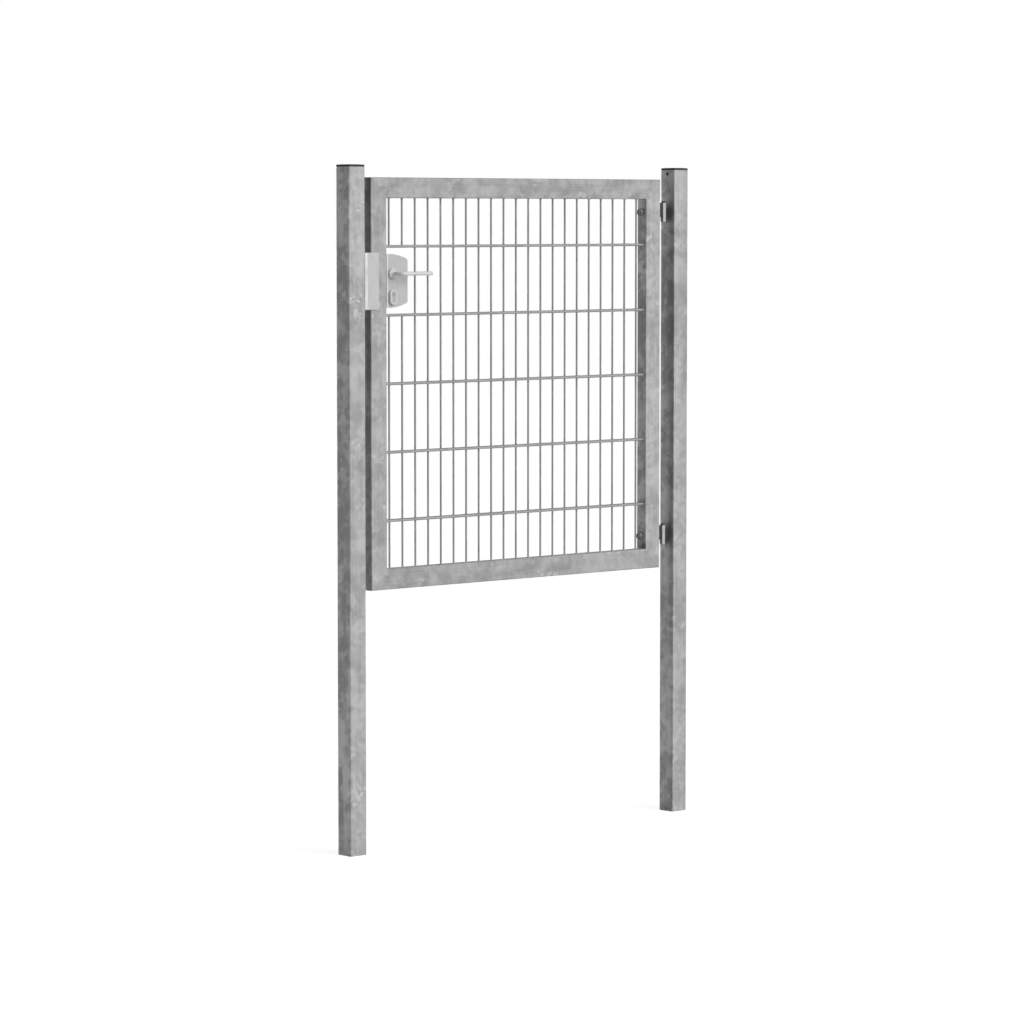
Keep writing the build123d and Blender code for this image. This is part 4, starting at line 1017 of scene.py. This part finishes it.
class GATE_OT_zinc_lips(bpy.types.Operator):
    """Adds the zinc lips round the vent and drain holes and drips under the bottom rail"""
    bl_idname = "gate.zinc_lips"
    bl_label = "Zinc Lips And Drips"

    def execute(self, context):
        posts, leaf = bmesh.new(), bmesh.new()
        lip = [(VENT_RADIUS + out, up) for out, up in LIP]
        for side in (-1, 1):
            lathe(posts, lip, at(side * POST_FACE, 0, POST_TOP - VENT_DROP), (-side, 0, 0), steps=28)
        for x in DRAIN_X:
            lathe(leaf, lip, at(x, 0, LEAF_LOW), (0, 0, -1), steps=28)
        chance = random.Random(context.scene.gate_details.drip_seed)
        for _ in range(DRIP_COUNT):
            radius, length = chance.uniform(*DRIP_RADIUS), chance.uniform(*DRIP_LENGTH)
            x = chance.uniform(LEAF_LEFT + DRIP_FROM_END, LEAF_RIGHT - DRIP_FROM_END)
            y = chance.uniform(-DRIP_HALF_SPREAD, DRIP_HALF_SPREAD)
            profile = [(out * radius, down * length) for out, down in DRIP]
            profile += [(DRIP_FOOT * radius, -DRIP_SUNK)]
            lathe(leaf, profile, at(x, y, LEAF_LOW), (0, 0, -1), steps=12)
        piece("post_vent_lips", posts, "zinc_weld", "posts", GALVANISED)
        piece("rail_drain_lips", leaf, "zinc_weld", "leaf", GALVANISED)
        return {"FINISHED"}


PANEL_SIDE, PANEL_RISE = 44, 0.7
MOULD_MARK = ((0, 0.15), (1.2, 0.15), (1.6, 0.35), (2.4, 0.35), (2.8, -0.1))


class GATE_OT_cap_tops(bpy.types.Operator):
    """Adds the raised panel and the moulding mark on each post cap"""
    bl_idname = "gate.cap_tops"
    bl_label = "Cap Tops"

    def execute(self, context):
        shape = bmesh.new()
        caps = [at(middle(cap, X), 0, edge(cap, Z, HIGH)) for cap in ("latch_post_cap", "hinge_post_cap")]
        panel = (PANEL_SIDE, PANEL_SIDE, 2 * PANEL_RISE)
        for place in caps:
            bmesh.ops.create_cube(shape, size=1, matrix=sized_place(place, panel))
        soften(shape, size=0.6, steps=3)
        for place in caps:
            lathe(shape, MOULD_MARK, place + at(0, 0, PANEL_RISE), (0, 0, 1), steps=20)
        piece("post_cap_tops", shape, "black_plastic", "posts", PLASTIC)
        return {"FINISHED"}


# Stage

QUARTER_TURN = math.radians(90)
KEY_SPREAD, LEFT_SPREAD, BACK_SPREAD = math.radians(50), math.radians(60), math.radians(8)
SIDE_PLACE, SIDE_SIZE = Vector((5.0, -1.3, 1.0)), (1.6, 3.2)
SIDE_AIM = (-SIDE_PLACE.x, -SIDE_PLACE.y, 0)
BOUNCE_PLACE, BOUNCE_AIM, BOUNCE_SIZE = (-1.3, 1.3, 0.02), (0, 0, 1), (3.6, 2.4)
FLOOR_MATT, FLOOR_SHADE, FLOOR_GLOW = (0.8, 0.8, 0.8, 1), (0.4, 0.4, 0.4, 1), (0.87, 0.87, 0.87, 1)
WHITE = (1, 1, 1, 1)
SENSOR_WIDTH = 36


def white_to_camera(tree, lit, shown, surface):
    """Gives a surface one shader that lights the gate, and one for the camera, also through clear pieces."""
    path = node(tree, "ShaderNodeLightPath").outputs
    rays = {0: path["Is Camera Ray"], 1: path["Is Transmission Ray"]}
    seen = node(tree, "ShaderNodeMath", rays, operation="MAXIMUM")
    step = node(tree, "ShaderNodeMixShader", {0: seen.outputs[0], 1: lit.outputs[0], 2: shown.outputs[0]})
    feed(tree, surface, {"Surface": step.outputs[0]})


def floor_material():
    """Matt floor that glows white to the camera and still takes a soft shadow."""
    made = bpy.data.materials.new("pale_floor")
    made.use_nodes = True
    tree = made.node_tree
    tree.nodes.remove(tree.nodes["Principled BSDF"])
    matt = node(tree, "ShaderNodeBsdfDiffuse", {"Color": FLOOR_MATT})
    shaded = node(tree, "ShaderNodeBsdfDiffuse", {"Color": FLOOR_SHADE})
    glow = node(tree, "ShaderNodeEmission", {"Color": FLOOR_GLOW, "Strength": 1})
    shown = node(tree, "ShaderNodeAddShader", {0: shaded.outputs[0], 1: glow.outputs[0]})
    white_to_camera(tree, matt, shown, tree.nodes["Material Output"])
    return made


def studio_world(strength):
    """Even fill light, and a white background for the camera."""
    made = bpy.data.worlds.new("studio")
    made.use_nodes = True
    tree = made.node_tree
    fill = tree.nodes["Background"]
    feed(tree, fill, {"Color": WHITE, "Strength": strength})
    white = node(tree, "ShaderNodeBackground", {"Color": WHITE, "Strength": 1})
    white_to_camera(tree, fill, white, tree.nodes["World Output"])
    return made


def distant(name, turn, height, spread, strength):
    """Far lamp; turn 0 shines on the gate's front, a quarter turn back on its left side."""
    data = bpy.data.lights.new(name, "SUN")
    data.energy = strength
    data.angle = spread
    add_object(name, data).rotation_euler = (QUARTER_TURN - height, 0, turn)


def soft_box(name, place, aim, size, power):
    """Rectangular lamp that shines along a direction."""
    data = bpy.data.lights.new(name, "AREA")
    data.shape = "RECTANGLE"
    data.size, data.size_y = size
    data.energy = power
    made = add_object(name, data)
    made.location = place
    made.rotation_euler = Vector(aim).to_track_quat("-Z", "Y").to_euler()
    made.visible_camera = False


class GATE_OT_stage(bpy.types.Operator):
    """Sets the pale floor, the soft studio light and the camera"""
    bl_idname = "gate.stage"
    bl_label = "Stage"

    def execute(self, context):
        scene = context.scene
        stage = scene.gate_stage
        mesh = bpy.data.meshes.new("floor")
        shape = bmesh.new()
        bmesh.ops.create_circle(shape, cap_ends=True, segments=96, radius=stage.floor_radius)
        shape.to_mesh(mesh)
        shape.free()
        mesh.materials.append(floor_material())
        floor = add_object("floor", mesh)

        scene.world = studio_world(stage.fill_strength)
        distant("key", stage.key_turn, stage.key_height, KEY_SPREAD, stage.key_strength)
        distant("left", -QUARTER_TURN - stage.left_turn, stage.left_height, LEFT_SPREAD,
                stage.left_strength)
        distant("back", stage.back_turn, stage.back_height, BACK_SPREAD, stage.back_strength)
        soft_box("side", SIDE_PLACE, SIDE_AIM, SIDE_SIZE, stage.side_power)
        soft_box("bounce", BOUNCE_PLACE, BOUNCE_AIM, BOUNCE_SIZE, stage.bounce_power)

        data = bpy.data.cameras.new("camera")
        data.lens = stage.camera_lens
        data.sensor_width = SENSOR_WIDTH
        camera = add_object("camera", data)
        camera.location = stage.camera_place
        camera.rotation_euler = (QUARTER_TURN - stage.camera_pitch, 0, -stage.camera_yaw)
        scene.camera = camera
        scene.view_settings.view_transform = "Standard"
        return {"FINISHED"}


# Panel and steps

class GATE_PT_panel(bpy.types.Panel):
    """Lists the steps that dress the gate"""
    bl_idname = "GATE_PT_panel"
    bl_label = "Mesh Fence Gate"
    bl_space_type = "VIEW_3D"
    bl_region_type = "UI"
    bl_category = "Gate"

    def draw(self, context):
        for step in STEPS:
            self.layout.operator(step.bl_idname)


STEPS = (GATE_OT_finishes, GATE_OT_mesh_welds, GATE_OT_frame_welds, GATE_OT_hinge_welds, GATE_OT_nuts,
         GATE_OT_screws, GATE_OT_spring, GATE_OT_cylinder_faces, GATE_OT_zinc_lips, GATE_OT_cap_tops,
         GATE_OT_stage)
CLASSES = (GateFinishes, GateDetails, GateStage, *STEPS, GATE_PT_panel)


def register():
    for each in CLASSES:
        bpy.utils.register_class(each)
    bpy.types.Scene.gate_finishes = PointerProperty(type=GateFinishes)
    bpy.types.Scene.gate_details = PointerProperty(type=GateDetails)
    bpy.types.Scene.gate_stage = PointerProperty(type=GateStage)


def unregister():
    del bpy.types.Scene.gate_stage
    del bpy.types.Scene.gate_details
    del bpy.types.Scene.gate_finishes
    for each in reversed(CLASSES):
        bpy.utils.unregister_class(each)


def main():
    register()
    for step in STEPS:
        area, name = step.bl_idname.split(".")
        getattr(getattr(bpy.ops, area), name)()


if __name__ == "__main__":
    main()
